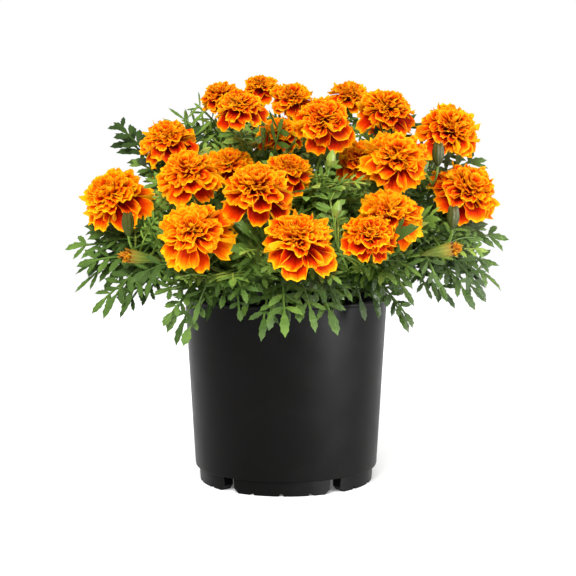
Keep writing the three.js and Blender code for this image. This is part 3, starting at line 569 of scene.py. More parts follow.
# The flower heads and buds, as the plant carries them: the middle of each head, its radius, the way it faces
# round the plant in degrees, and how far it leans from upright. Stalks, cups and petals all follow from
# these.
BLOOMS = {
    "bloom_01": ((-93, -30, 276), 23, -108, 30),
    "bloom_02": ((-73, -86, 250), 24, -102, 36),
    "bloom_03": ((-135, -45, 232), 27.5, -118, 48),
    "bloom_04": ((-36, -50, 301), 20.5, -96, 30),
    "bloom_05": ((-54, 34, 313), 19, -110, 28),
    "bloom_06": ((-21, 68, 323), 17, -95, 26),
    "bloom_07": ((5, 20, 311), 19, -88, 38),
    "bloom_08": ((29, -55, 289), 24, -88, 42),
    "bloom_09": ((53, 36, 314), 18.5, -80, 28),
    "bloom_10": ((80, -25, 300), 23, -76, 36),
    "bloom_11": ((131, -15, 285), 24.5, -68, 48),
    "bloom_12": ((84, -70, 261), 26, -76, 42),
    "bloom_13": ((58, -36, 262), 18, -100, 42),
    "bloom_14": ((-44, -40, 256), 20.5, -85, 34),
    "bloom_15": ((-21, -110, 238), 27.5, -92, 37),
    "bloom_16": ((2, -64, 252), 19.5, -80, 30),
    "bloom_17": ((-67, -120, 206), 28.5, -100, 48),
    "bloom_18": ((9, -138, 202), 27.5, -88, 34),
    "bloom_19": ((60, -144, 206), 20, -80, 46),
    "bloom_20": ((78, -98, 219), 26, -72, 28),
    "bloom_21": ((141, -45, 236), 27.5, -62, 50),
    "bloom_22": ((-5, -12, 282), 18, -90, 38),
    "bloom_23": ((-140, 36, 224), 23, 165, 38),
    "bloom_24": ((-100, 88, 250), 23, 139, 36),
    "bloom_25": ((-48, 136, 208), 26, 109, 40),
    "bloom_26": ((-42, 98, 280), 21, 113, 32),
    "bloom_27": ((28, 138, 206), 24, 79, 40),
    "bloom_28": ((24, 96, 284), 22, 76, 32),
    "bloom_29": ((92, 106, 228), 25, 49, 38),
    "bloom_30": ((140, 40, 228), 20, 16, 38),
    "bloom_31": ((82, 62, 282), 20, 37, 32),
}
# Each bud: the middle of its green cup, its radius, the way it points, how far it leans, its length, its form
# and its tone of green. Petals already push out of the open ones.
BUDS = {
    "bud_left": ((-107, -69, 186), 5.2, 190, 82, 24, "open_bud", 0.7),
    "bud_right": ((113, -86, 192), 5.2, -8, 80, 24, "open_bud", 0.7),
    "bud_c": ((-120, -76, 212), 4.4, -90, 14, 17, "shut_bud", 0.22),
    "bud_d": ((118, -52, 265), 4.4, -90, 12, 17, "shut_bud", 0.18),
    "bud_e": ((127, -77, 217), 4.4, -90, 14, 17, "shut_bud", 0.2),
    "bud_f": ((34, -84, 262), 3.6, -60, 20, 14, "slim_bud", 0.78),
    "bud_g": ((37, -128, 226), 3.4, -60, 18, 13, "slim_bud", 0.77),
}

# Each leafy stem: its foot in the mix, its top, the flowers it carries with the place along it where each
# stalk leaves, and its large leaves, each with its place along the stem, its tip and the height of its arch.
STEMS = {
    "stem_01": (
        (-30, -40),
        (-50, -84, 170),
        {"bloom_17": 1},
        [(0.62, (-82, -112, 124), 26), (0.8, (-116, -104, 170), 16), (0.9, (-28, -138, 158), 12)],
    ),
    "stem_02": (
        (-2, -38),
        (-6, -88, 176),
        {"bloom_15": 1, "bloom_18": 0.86},
        [(0.6, (-18, -134, 130), 22), (0.7, (38, -130, 134), 24)],
    ),
    "stem_03": (
        (30, -38),
        (46, -86, 176),
        {"bloom_19": 1, "bud_g": 0.92},
        [(0.6, (92, -100, 132), 26), (0.85, (92, -128, 168), 14)],
    ),
    "stem_04": (
        (52, -14),
        (92, -44, 184),
        {"bloom_21": 1, "bud_right": 0.94, "bud_e": 1},
        [(0.7, (172, -34, 158), 22), (0.82, (145, -74, 146), 24), (0.95, (179, -24, 198), 10)],
    ),
    "stem_05": (
        (46, 10),
        (92, -12, 226),
        {"bloom_11": 1, "bud_d": 0.92},
        [(0.9, (165, 7, 262), 8), (0.7, (157, 24, 206), 14)],
    ),
    "stem_06": ((28, -18), (62, -54, 200), {"bloom_20": 0.9, "bloom_12": 1}, [(0.95, (104, -40, 240), 6)]),
    "stem_07": (
        (8, -16),
        (14, -46, 222),
        {"bloom_16": 0.9, "bloom_08": 1, "bud_f": 1},
        [(0.92, (42, -104, 240), 6), (0.75, (24, -112, 206), 8)],
    ),
    "stem_08": ((28, 2), (56, -8, 236), {"bloom_13": 0.88, "bloom_10": 1}, [(0.95, (108, 20, 276), 6)]),
    "stem_09": (
        (6, 14),
        (8, 22, 262),
        {"bloom_07": 1, "bloom_09": 0.94},
        [(0.96, (28, 2, 292), 4), (0.8, (40, 60, 262), 8)],
    ),
    "stem_10": ((-10, 0), (-16, 2, 236), {"bloom_22": 1, "bloom_04": 0.92}, [(0.85, (-50, 26, 272), 8)]),
    "stem_11": (
        (-42, 4),
        (-74, -14, 216),
        {"bloom_01": 1, "bloom_14": 0.9},
        [(0.9, (-139, 2, 284), 8), (0.98, (-80, 2, 292), 6), (0.7, (-130, -6, 214), 10)],
    ),
    "stem_12": (
        (-52, -14),
        (-88, -44, 180),
        {"bloom_03": 1, "bud_left": 0.92, "bud_c": 1},
        [(0.7, (-168, -34, 156), 22), (0.82, (-140, -76, 140), 24), (0.95, (-177, -26, 190), 10)],
    ),
    "stem_13": (
        (-28, -20),
        (-52, -56, 200),
        {"bloom_02": 1},
        [(0.8, (-28, -98, 206), 8), (0.75, (-98, -88, 206), 10)],
    ),
    "stem_14": (
        (-44, 24),
        (-92, 50, 190),
        {"bloom_23": 1, "bloom_24": 0.9},
        [(0.72, (-158, 62, 148), 22), (0.9, (-142, 92, 196), 10)],
    ),
    "stem_15": (
        (-16, 38),
        (-36, 84, 196),
        {"bloom_25": 0.9, "bloom_26": 1},
        [(0.62, (-78, 128, 130), 24), (0.8, (-4, 150, 160), 14)],
    ),
    "stem_16": ((16, 36), (24, 74, 214), {"bloom_27": 0.8, "bloom_28": 1}, [(0.6, (64, 138, 130), 24)]),
    "stem_17": (
        (42, 28),
        (84, 62, 194),
        {"bloom_29": 1, "bloom_30": 0.9, "bloom_31": 0.96},
        [(0.7, (152, 76, 150), 22), (0.8, (122, 118, 170), 12)],
    ),
    "stem_18": (
        (-24, 20),
        (-32, 40, 258),
        {"bloom_05": 1, "bloom_06": 0.96},
        [(0.85, (-92, 50, 288), 8), (0.7, (-79, 90, 232), 10)],
    ),
}

# The stems and stalks: green and finely grooved. Each stem rises from the mix and bends out to its top,
# and each stalk leaves it there and ends under its flower, along its axis.
STEM_DEPTH = 16
STEM_RISE = 4
STEM_BEND = (0.25, 0.8)
STEM_FOOT_RADIUS = 2.8
STEM_TOP_RADIUS = 1.9
STEM_STEPS = 14
STEM_TONE = 0.6
STALK_RADIUS = 1.2
STALK_REACH = 0.4
STALK_STEPS = 12
STALK_TONE = 0.68
CUP_RADIUS = 4.6
CUP_LENGTH = 15
CUP_TOP = -3.2
TUBE_SIDES = 8


def leaning(faces, leans):
    """A direction that leans from upright towards a bearing round the plant."""
    flat = math.sin(math.radians(leans))
    turn = math.radians(faces)
    return np.array((flat * math.cos(turn), flat * math.sin(turn), math.cos(math.radians(leans))))


def on_curve(corners, share):
    """The point at a share of a Bezier curve, and the way that the curve runs there."""
    level = [np.array(corner, float) for corner in corners]
    while len(level) > 2:
        level = [(1 - share) * a + share * b for a, b in zip(level, level[1:])]
    a, b = level
    return (1 - share) * a + share * b, (b - a) / np.linalg.norm(b - a)


def stem_corners(foot, top):
    """The Bezier corners of a main stem."""
    low = np.array((*foot, SOIL_TOP + STEM_RISE), float)
    high = np.array(top, float)
    across, up = STEM_BEND
    bend = low + across * (high - low)
    bend[2] = low[2] + up * (high[2] - low[2])
    return [low, bend, high]


def stalk_corners(stem, place, flower):
    """The Bezier corners of a stalk, which ends where the cup or the bud begins."""
    if flower in BLOOMS:
        middle, _, faces, leans = BLOOMS[flower]
        back = CUP_TOP - CUP_LENGTH
    else:
        middle, _, faces, leans, length, *_ = BUDS[flower]
        back = -length / 2
    axis = leaning(faces, leans)
    end = np.array(middle, float) + back * axis
    start, direction = on_curve(stem, place)
    reach = STALK_REACH * np.linalg.norm(end - start)
    return [start, start + reach * direction, end - reach * axis, end]


# One living green for every leafy part, from the dark of shaded leaves to the straw of the palest, by the
# tone that each part carries. Veins are paler, closed buds turn bronze, and the mouths of the opening ones
# golden.
TONES = (
    (0.0, (0.016, 0.034, 0.006, 1)),
    (0.3, (0.042, 0.082, 0.013, 1)),
    (0.5, (0.078, 0.145, 0.022, 1)),
    (0.72, (0.15, 0.25, 0.036, 1)),
    (0.88, (0.28, 0.34, 0.05, 1)),
    (1.0, (0.4, 0.39, 0.08, 1)),
)
TONE_DRIFT = 0.08
VEIN_PALER = 0.16
VEIN_EDGES = (0.7, 1.0)
VEIN_DEPTH = 0.6
BRONZE = (0.075, 0.055, 0.008, 1)
GOLD = (0.26, 0.07, 0.002, 1)
GREEN_ROUGHNESS = (0.5, 0.68)


def colours_along(tree, value, stops):
    """The colour for a value, from stops of a place and a colour."""
    node = tree.nodes.new("ShaderNodeValToRGB")
    elements = node.color_ramp.elements
    while len(elements) < len(stops):
        elements.new(0.5)
    for element, (position, colour) in zip(elements, stops):
        element.position = position
        element.color = colour
    tree.links.new(value, node.inputs[0])
    return node.outputs[0]


living_green, tree, shader = new_material("living_green", Specular_IOR_Level=0.1)
vein = attribute(tree, "vein")
tone = math_node(tree, "SUBTRACT", attribute(tree, "tone"), TONE_DRIFT)
tone = math_node(tree, "MULTIPLY_ADD", mottled(tree, 0.012, 3.0), 2 * TONE_DRIFT, tone)
tone = math_node(tree, "ADD", tone, ramp(tree, vein, *VEIN_EDGES, 0.0, VEIN_PALER))
aged = blend_colours(tree, attribute(tree, "bronze"), colours_along(tree, tone, TONES), BRONZE)
tree.links.new(blend_colours(tree, attribute(tree, "gold"), aged, GOLD), shader.inputs["Base Color"])
tree.links.new(ramp(tree, mottled(tree, 0.003, 3.0), 0, 1, *GREEN_ROUGHNESS), shader.inputs["Roughness"])
grooves = math_node(tree, "MULTIPLY_ADD", vein, -VEIN_DEPTH, mottled(tree, 0.0015, 2.0))
bump(tree, shader, grooves, 0.0003, 0.7)

# The tree of nodes for all growth on lines and points: a tube along each line, as thick as its points say,
# and a copy of a template on each point that has a reach, laid along its own direction.
sockets = {"Templates": "Collection", "Sides": "Int", "Material": "Material"}
tree, given, leave = new_tree("growth", sockets)


def named(tree, name, kind="FLOAT"):
    """A named attribute as a field."""
    return add_node(tree, "GeometryNodeInputNamedAttribute", {"Name": name}, data_type=kind)


lines = add_node(tree, "GeometryNodeMeshToCurve", {"Mesh": given["Geometry"]})
lines = add_node(tree, "GeometryNodeSetCurveRadius", {"Curve": lines, "Radius": named(tree, "thick")})
section = add_node(
    tree,
    "GeometryNodeCurvePrimitiveCircle",
    {"Resolution": given["Sides"], "Radius": 1.0},
    mode="RADIUS",
)
tubes = add_node(
    tree,
    "GeometryNodeCurveToMesh",
    {"Curve": lines, "Profile Curve": section, "Fill Caps": True},
)
tubes = add_node(tree, "GeometryNodeSetShadeSmooth", {0: tubes, "Shade Smooth": True})
templates = add_node(
    tree,
    "GeometryNodeCollectionInfo",
    {"Collection": given["Templates"], "Separate Children": True, "Reset Children": True},
)
reach = named(tree, "reach")
has_reach = add_node(tree, "FunctionNodeCompare", {0: reach, 1: 0.0}, operation="GREATER_THAN")
turn = add_node(
    tree,
    "FunctionNodeAlignRotationToVector",
    {"Vector": named(tree, "out", "FLOAT_VECTOR")},
    axis="X",
)
turn = add_node(
    tree,
    "FunctionNodeAlignRotationToVector",
    {"Rotation": turn, "Vector": named(tree, "up", "FLOAT_VECTOR")},
    axis="Z",
    pivot_axis="X",
)
broad = math_node(tree, "MULTIPLY", reach, named(tree, "wide"))
scale = add_node(tree, "ShaderNodeCombineXYZ", {"X": reach, "Y": broad, "Z": broad})
copies = add_node(
    tree,
    "GeometryNodeInstanceOnPoints",
    {
        "Points": given["Geometry"],
        "Selection": has_reach,
        "Instance": templates,
        "Pick Instance": True,
        "Instance Index": named(tree, "kind", "INT"),
        "Rotation": turn,
        "Scale": scale,
    },
)
whole = add_node(tree, "GeometryNodeRealizeInstances", {"Geometry": copies})
everything = tree.nodes.new("GeometryNodeJoinGeometry")
tree.links.new(whole, everything.inputs[0])
tree.links.new(tubes, everything.inputs[0])
dressed = add_node(
    tree,
    "GeometryNodeSetMaterial",
    {"Geometry": everything.outputs[0], "Material": given["Material"]},
)
tree.links.new(dressed, leave)
growth = tree


class Sketch:
    """The lines and points of one piece, each point with the facts that the growth tree reads."""

    def __init__(self):
        self.points, self.edges = [], []
        self.facts = {"thick": [], "reach": [], "wide": [], "tone": [], "kind": [], "out": [], "up": []}

    def add(self, point, **facts):
        """Adds a point, plain but for the facts that are given."""
        blank = {"thick": 0, "reach": 0, "wide": 0, "tone": 0.5, "kind": 0, "out": (1, 0, 0), "up": (0, 0, 1)}
        self.points.append(tuple(point))
        for key, value in {**blank, **facts}.items():
            self.facts[key].append(value)

    def line(self, points, radii, tone):
        """Joins points by a line that is drawn as a tube."""
        for i, (point, radius) in enumerate(zip(points, radii)):
            self.add(point, thick=radius, tone=tone)
            if i:
                self.edges.append((len(self.points) - 2, len(self.points) - 1))

    def mesh(self):
        """The lines and points as a mesh that carries their facts."""
        mesh = bpy.data.meshes.new("sketch")
        mesh.from_pydata(self.points, self.edges, [])
        for key in ("thick", "reach", "wide", "tone"):
            mesh.attributes.new(key, "FLOAT", "POINT").data.foreach_set("value", self.facts[key])
        mesh.attributes.new("kind", "INT", "POINT").data.foreach_set("value", self.facts["kind"])
        for key in ("out", "up"):
            flat = np.array(self.facts[key], np.float32).ravel()
            mesh.attributes.new(key, "FLOAT_VECTOR", "POINT").data.foreach_set("vector", flat)
        return mesh


def templates_of(name, meshes):
    """A collection outside the scene that holds one object for each template mesh, in order."""
    collection = bpy.data.collections.new(name)
    for i, mesh in enumerate(meshes):
        collection.objects.link(bpy.data.objects.new(f"{name}_{i:02d}", mesh))
    return collection


no_templates = bpy.data.collections.new("no_templates")
stem_lines = {}
for name, (foot, top, carries, _) in STEMS.items():
    main = stem_corners(foot, top)
    stem_lines[name] = [main, *(stalk_corners(main, place, flower) for flower, place in carries.items())]
    sketch = Sketch()
    points = [on_curve(main, i / STEM_STEPS)[0] for i in range(STEM_STEPS + 1)]
    radii = np.linspace(STEM_FOOT_RADIUS, STEM_TOP_RADIUS, STEM_STEPS + 1)
    rooted = (*foot, SOIL_TOP - STEM_DEPTH)
    sketch.line([rooted, *points], [STEM_FOOT_RADIUS, *radii], STEM_TONE)
    for corners in stem_lines[name][1:]:
        points = [on_curve(corners, i / STALK_STEPS)[0] for i in range(STALK_STEPS + 1)]
        sketch.line(points, [STALK_RADIUS] * len(points), STALK_TONE)
    mesh = grown(name, sketch.mesh(), growth, Templates=no_templates, Sides=TUBE_SIDES, Material=living_green)
    settle(f"{name}_stalks", mesh, "green_growth", name)


# The green cups: bracts grown together into a ribbed goblet round the foot of each flower head, with a small
# tooth where each bract ends. A bud is the same goblet before the flower opens: flat and toothed at its top,
# or slim and pointed while it is young.
CUP_RIBS = 9
CUP_SIDES = 4 * CUP_RIBS
CUP_TONE = 0.5
CUP_SUNK = 0.02
RIBS_FADE_IN = 3
GOLD_REACH = (0.6, 1.1)
PALE_AT_FOOT = 0.6
BRONZE_OFF_RIBS = 0.25
MOUTH_VEIN = 0.2
# Each form of goblet: its outline, the length of its teeth and the depth of its ribs, how far its ribs are
# lined in a paler green, how much paler it grows to its top, how bronze its foot and its top are, and how
# golden its mouth is.
GOBLETS = {
    "cup": {
        "shape": ((0, 0.26), (0.1, 0.4), (0.25, 0.68), (0.45, 0.9), (0.7, 1.0), (0.88, 0.93), (1.0, 0.74)),
        "tooth": 0.09,
        "ribbed": 0.07,
    },
    "open_bud": {
        "shape": ((0, 0.22), (0.16, 0.34), (0.36, 0.54), (0.58, 0.78), (0.8, 0.96), (1.0, 1.02)),
        "tooth": 0.1,
        "ribbed": 0.035,
        "lined": 0.75,
        "paler": 0.8,
        "bronze": (0.9, 0),
        "gold": 0.8,
    },
    "shut_bud": {
        "shape": ((0, 0.3), (0.12, 0.6), (0.3, 0.88), (0.52, 1.02), (0.74, 0.99), (0.9, 0.85), (1.0, 0.68)),
        "tooth": 0.1,
        "ribbed": 0.1,
        "lined": 0.85,
        "paler": 0.1,
        "bronze": (0.4, 1.0),
    },
    "slim_bud": {
        "shape": ((0, 0.3), (0.1, 0.55), (0.28, 0.88), (0.48, 1.0), (0.68, 0.86), (0.86, 0.52), (1.0, 0.14)),
        "tooth": 0.02,
        "ribbed": 0.06,
        "lined": 0.6,
    },
}


def smooth(value, low, high):
    """A smooth step from 0 to 1 between two values."""
    share = min(max((value - low) / (high - low), 0), 1)
    return share * share * (3 - 2 * share)


def goblet(name, shape, tooth, ribbed, lined=1.0, paler=0.0, bronze=(0, 0), gold=0.0):
    """A ribbed goblet of length 1 and radius 1 along X, closed a little below its teeth."""
    points, veins, browns, golds, faces = [(0, 0, 0)], [0.5], [bronze[0]], [0], []
    for t, radius in shape:
        for k in range(CUP_SIDES):
            angle = 2 * math.pi * k / CUP_SIDES
            rib = math.cos(CUP_RIBS * angle)
            r = radius * (1 + ribbed * rib * min(1, RIBS_FADE_IN * t))
            tip = tooth * max(rib, 0) if t == 1.0 else 0
            points.append((t + tip, r * math.cos(angle), r * math.sin(angle)))
            pale = PALE_AT_FOOT + (1 - PALE_AT_FOOT) * t
            veins.append((1 - paler) * lined * (0.5 + 0.5 * rib) + paler * pale)
            brown = bronze[0] + (bronze[1] - bronze[0]) * t**2
            browns.append(brown * (1 - BRONZE_OFF_RIBS - BRONZE_OFF_RIBS * rib))
            golds.append(gold * smooth(t, *GOLD_REACH))
    points.append((shape[-1][0] - CUP_SUNK, 0, 0))
    veins.append(MOUTH_VEIN)
    browns.append(bronze[1])
    golds.append(gold)
    last = len(points) - 1
    for k in range(CUP_SIDES):
        here, there = 1 + k, 1 + (k + 1) % CUP_SIDES
        faces.append((0, there, here))
        for ring in range(len(shape) - 1):
            low, high = ring * CUP_SIDES, (ring + 1) * CUP_SIDES
            faces.append((low + here, low + there, high + there, high + here))
        faces.append((last - CUP_SIDES + k, last - CUP_SIDES + (k + 1) % CUP_SIDES, last))
    return mesh_of(name, points, faces, 60, vein=veins, bronze=browns, gold=golds)


cups = templates_of("goblet", [goblet(name, **form) for name, form in GOBLETS.items()])
for name, (_, _, carries, _) in STEMS.items():
    sketch = Sketch()
    for i, flower in enumerate(carries):
        if flower in BLOOMS:
            middle, _, faces, leans = BLOOMS[flower]
            radius, length, back = CUP_RADIUS, CUP_LENGTH, CUP_TOP - CUP_LENGTH
            form, tone = "cup", CUP_TONE
        else:
            middle, radius, faces, leans, length, form, tone = BUDS[flower]
            back = -length / 2
        axis = leaning(faces, leans)
        sketch.add(
            np.array(middle, float) + back * axis,
            reach=length,
            wide=radius / length,
            tone=tone,
            kind=list(GOBLETS).index(form),
            out=axis,
            up=(0.3, 0.4, 0.2 + i),
        )
    mesh = grown(name, sketch.mesh(), growth, Templates=cups, Sides=TUBE_SIDES, Material=living_green)
    settle(f"{name}_cups", mesh, "green_growth", name)


# The leaves: each has a thin arched rib and pairs of narrow leaflets, toothed along both edges and folded a
# little at the midrib, with one more at its tip. Between the large leaves, smaller ones fill the bush.
LEAFLET_TEETH = 4
COARSE_TEETH = 2
# A leaflet is narrow at its foot, widest a little past its middle and pointed. Each tooth stands out and
# forward, and the midrib lies in the fold.
LEAFLET = {"foot": 0.08, "widest": 0.56, "swell": 0.9, "taper": 1.8, "midrib": 0.05, "waves": 7, "lag": 2}
TOOTH = {"out": 1.1, "in": 0.87, "forward": 0.035}
# Each shape of leaflet: its fold, its droop, the height of its waves and where they start.
LEAFLET_SHAPES = (
    (0.3, 0.1, 0.012, 0),
    (0.45, 0.22, 0.02, 1.3),
    (0.15, -0.06, 0.018, 2.6),
    (0.55, 0.04, 0.025, 4.1),
)
LEAFLET_ANGLE = 58
LEAFLET_CLOSES = {"by": 14, "from": 0.3}
LEAF_LOOK = 1.1
TURN_LINE = 20
RIB_RADII = (0.9, 0.3)
RIB_STEPS = 7
RIB_END = 0.97
RIB_PALER = 0.12
RIB_PALEST = 0.9
LONG_LEAF = 72
# Each kind of leaf: where its pairs of leaflets stand along the rib, their reach as a share of the leaf's
# length, their width as a share of their reach, and where its end leaflet starts if not at the usual place.
LEAF_KINDS = {
    "long": {"pairs": (0.18, 0.31, 0.44, 0.56, 0.68, 0.8), "reach": 0.23, "wide": 0.3},
    "short": {"pairs": (0.28, 0.44, 0.6, 0.76), "reach": 0.28, "wide": 0.3},
    "broad": {"pairs": (0.54, 0.76), "reach": 0.36, "wide": 0.38},
    "rim": {"pairs": (0.46, 0.58, 0.7, 0.82), "reach": 0.17, "wide": 0.44, "end": 0.88},
    "lobed": {"pairs": (0.67,), "reach": 0.25, "wide": 0.36, "end": 0.65},
    "blade": {"pairs": (0.46,), "reach": 0.56, "wide": 0.3},
    "cut": {"pairs": (0.4, 0.5, 0.6, 0.7, 0.8, 0.9), "reach": 0.16, "wide": 0.36},
    "thread": {"pairs": (0.3, 0.42, 0.54, 0.66, 0.78, 0.88), "reach": 0.3, "wide": 0.12},
}
PAIR_SWELL = (0.2, 0.6)
END_LEAFLET = {"from": 0.84, "share": 0.95, "level": 0.95}
# The chance in each leaflet of a leaf.
STRAY = {"bend": 0.12, "roll": 0.35, "reach": (0.88, 1.0), "wide": (0.88, 1.12), "tone": 0.1}
# The room that leaves keep: round the heads, over the pot, inside the bush, in the plant's box and before the
# flowers, which they may not hide.
BLOOM_ROOM = {"out": 2.5, "along": 2, "above": 0.78, "below": 0.5}
POT_ROOM = {"out": 5, "above": 4, "rim": 8, "mix": 5}
BUSH_MIDDLE = (0, 0, 168)
BUSH_RADII = (173, 152, 146)
BUSH_BOTTOM = 0.86
INNER_SHARE = 0.66
BOX_ROOM = 5
SIGHT_LENGTH = 75
SIGHT_SHARE = 0.72
SIGHT_IN_FRONT = (0, -1, 0.15)
SIGHT_BEHIND = (0, 1, 0.3)
BUD_SIGHT = 9
LEAF_TRIES = 9
LARGE_LEAF_TONES = (0.2, 0.5)
DARK_STEMS = {"stem_11": 0.1}
# Painted light: the leaves in the middle, in the shade between the flowers, are painted a little paler.
MIDDLE_HALF = 95
MIDDLE_HEIGHTS = (165, 265)
MIDDLE_PAINTED_LIGHT = 0.16
MIDDLE_PAINTED_LIGHT_CAP = 0.6
# The companions of a large leaf: where their feet stand from its own along the stem, how far they reach to
# its tip and round it, their tones and how slim their leaflets are. High leaves have only one.
COMPANIONS = {
    "count": 5,
    "below": 200,
    "foot": (-0.12, 0.06),
    "lowest": 0.3,
    "share": (0.66, 0.96),
    "spread": ((-26, 26), (-26, 26), (-1, 26)),
    "tone": (0.1, 0.52),
    "slim": (0.22, 0.32),
}
# The small leaves along each stem and stalk: how far apart they stand, where they start, over how much of it
# they go on, and their lengths.
SMALL_LEAVES = {
    "stem": {"apart": 4.6, "from": 0.1, "over": 0.88, "reach": (52, 84)},
    "stalk": {"apart": 5.29, "from": 0.06, "over": 0.74, "reach": (36, 58)},
}
GOLDEN_TURN = 137.5
NEXT_TRY = {"turn": 41, "outward": 50, "shorter": 0.05}
SMALL_LEANS = (35, 95)
SMALL_ARCH = (2, 0.16)
SMALL_TONES = (0.1, 0.24, 0.36, 0.48, 0.6)
SMALL_TONE_CHANCE = 0.1
SMALL_TONE_RISE = 0.2
SMALL_TONE_OVER = 200
SMALL_SLIM = (0.23, 0.36)
LINE_STEPS = 8
# Leaves that show between the flowers, over the rim and at the sides: place along the stem, tip, arch, tone
# and kind.
LEAVES_AMONG_FLOWERS = {
    "stem_01": [
        (0.55, (-48, -116, 152), 12, 0.4, "short"),
        (0.7, (-33, -130, 144), 16, 0.36, "rim"),
        (0.6, (-91, -108, 138), 18, 0.46, "rim"),
        (0.6, (-76, -112, 124), 20, 0.5, "rim"),
    ],
    "stem_02": [
        (0.98, (-36, -136, 217), 4, 0.3, "blade"),
        (0.98, (-13, -132, 218), 2, 0.2, "lobed"),
        (0.95, (-40, -138, 196), 6, 0.36, "blade"),
        (0.5, (-2, -122, 146), 14, 0.5, "short"),
        (0.6, (-12, -130, 138), 20, 0.38, "rim"),
    ],
    "stem_03": [
        (0.98, (93, -149, 215), 0, 0.18, "lobed"),
        (0.55, (40, -112, 150), 14, 0.5, "short"),
        (0.6, (34, -126, 138), 20, 0.4, "rim"),
        (0.6, (95, -105, 137), 18, 0.36, "rim"),
    ],
    "stem_04": [
        (0.95, (161, -30, 211), 5, 0.4, "short"),
        (0.9, (168, -42, 178), 8, 0.42, "long"),
        (0.85, (156, -60, 151), 14, 0.25, "long"),
        (0.9, (130, -70, 147), 12, 0.14, "short"),
        (0.95, (111, -80, 155), 8, 0.24, "short"),
    ],
    "stem_07": [
        (0.6, (18, -108, 162), 10, 0.45, "short"),
        (0.9, (30, -114, 222), 6, 0.7, "blade"),
        (0.96, (44, -106, 240), 5, 0.74, "short"),
        (0.95, (24, -108, 242), 5, 0.74, "broad"),
        (0.9, (15, -118, 232), 6, 0.72, "short"),
        (0.6, (10, -134, 144), 16, 0.36, "rim"),
    ],
    "stem_08": [(0.98, (106, 0, 299), 6, 0.3, "short")],
    "stem_10": [
        (0.98, (-19, -54, 287), 4, 0.62, "short"),
        (1, (-2, -50, 294), 4, 0.6, "short"),
        (1, (8, -60, 276), 4, 0.58, "short"),
    ],
    "stem_11": [(0.96, (-139, -8, 292), 6, 0.1, "cut"), (0.98, (-84, 20, 303), 4, 0.56, "thread")],
    "stem_12": [
        (0.95, (-159, -30, 208), 5, 0.35, "short"),
        (0.9, (-165, -45, 178), 8, 0.42, "long"),
        (0.85, (-151, -60, 142), 14, 0.4, "long"),
        (0.9, (-128, -70, 140), 12, 0.14, "long"),
        (0.95, (-112, -60, 148), 8, 0.12, "short"),
    ],
    "stem_18": [(0.9, (-89, 40, 296), 4, 0.6, "thread"), (1, (-78, 45, 310), 4, 0.56, "thread")],
}


def leaflet_mesh(name, teeth, fold, droop, wave, phase):
    """A leaflet of length 1 along X and width 1 at its widest, in a thin body that is closed at its edges."""
    count = 2 * teeth
    points, veins, faces = [], [], []

    def put(x, y, z, vein):
        points.append((x, y, z))
        veins.append(vein)
        return len(points) - 1

    rows = []
    for i in range(count + 1):
        t = i / count
        past = max(t - LEAFLET["widest"], 0) / (1 - LEAFLET["widest"])
        is_tooth = i % 2 == 0 and 0 < i < count
        swell = math.sin(math.pi / 2 * min(t / LEAFLET["widest"], 1)) ** LEAFLET["swell"]
        half = 0.5 * (LEAFLET["foot"] + (1 - LEAFLET["foot"]) * swell)
        half *= 1 - past ** LEAFLET["taper"]
        half *= TOOTH["out"] if is_tooth else TOOTH["in"]
        half = 0 if i == count else half
        x = t + (TOOTH["forward"] if is_tooth else 0)
        lift = -droop * t * t
        turn = LEAFLET["waves"] * t + phase
        left_up = fold * half + wave * math.sin(turn)
        right_up = fold * half + wave * math.sin(turn + LEAFLET["lag"])
        left = put(x, half, lift + left_up, 0)
        right = put(x, -half, lift + right_up, 0) if half else left
        ridge = put(t, 0, lift + LEAFLET["midrib"] * half, 1) if 0 < i < count else left
        rows.append((left, ridge, right))
    for a, b in zip(rows, rows[1:]):
        for quad in ((a[1], a[0], b[0], b[1]), (a[2], a[1], b[1], b[2]), (a[0], a[2], b[2], b[0])):
            ring = list(dict.fromkeys(quad[::-1]))
            if len(ring) > 2:
                faces.append(ring)
    return mesh_of(name, points, faces, 60, vein=veins)


def leaf_lines(base, tip, arch, kind=None):
    """A leaf's rib, the way across it, and the root, direction, upward side and reach of each leaflet."""
    chord = tip - base
    length = np.linalg.norm(chord)
    form = LEAF_KINDS[kind or ("long" if length > LONG_LEAF else "short")]
    look = np.array((0, -LEAF_LOOK if tip[1] < TURN_LINE else LEAF_LOOK, 1))
    side = np.cross(chord, look)
    side /= np.linalg.norm(side)

    def rib(t):
        return base + chord * t + np.array((0, 0, 4 * arch * t * (1 - t)))

    def along(t):
        way = chord + np.array((0, 0, 4 * arch * (1 - 2 * t)))
        return way / np.linalg.norm(way)

    leaflets = []
    for t in form["pairs"]:
        forward = along(t)
        reach = form["reach"] * length * math.sin(math.pi * (PAIR_SWELL[0] + PAIR_SWELL[1] * t))
        up = np.cross(side, forward)
        for hand in (-1, 1):
            angle = math.radians(LEAFLET_ANGLE - LEAFLET_CLOSES["by"] * (t - LEAFLET_CLOSES["from"]))
            out = forward * math.cos(angle) + side * hand * math.sin(angle)
            leaflets.append((rib(t), out, up, reach))
    way = rib(1) - rib(form.get("end", END_LEAFLET["from"]))
    end_reach = max(np.linalg.norm(way), form["reach"] * length * END_LEAFLET["share"])
    way /= np.linalg.norm(way)
    leaflets.append((rib(1) - way * end_reach, way, np.cross(side, along(END_LEAFLET["level"])), end_reach))
    return rib, side, leaflets


head_middles = np.array([bloom[0] for bloom in BLOOMS.values()], float)
head_radii = np.array([bloom[1] for bloom in BLOOMS.values()], float)
head_axes = np.array([leaning(bloom[2], bloom[3]) for bloom in BLOOMS.values()])
bud_middles = np.array([bud[0] for bud in BUDS.values()], float)
sight_starts = np.concatenate([head_middles, bud_middles])
sight_radii = np.concatenate([SIGHT_SHARE * head_radii, np.full(len(BUDS), BUD_SIGHT)])
sight_ways = np.where(sight_starts[:, 1:2] < TURN_LINE, SIGHT_IN_FRONT, SIGHT_BEHIND)


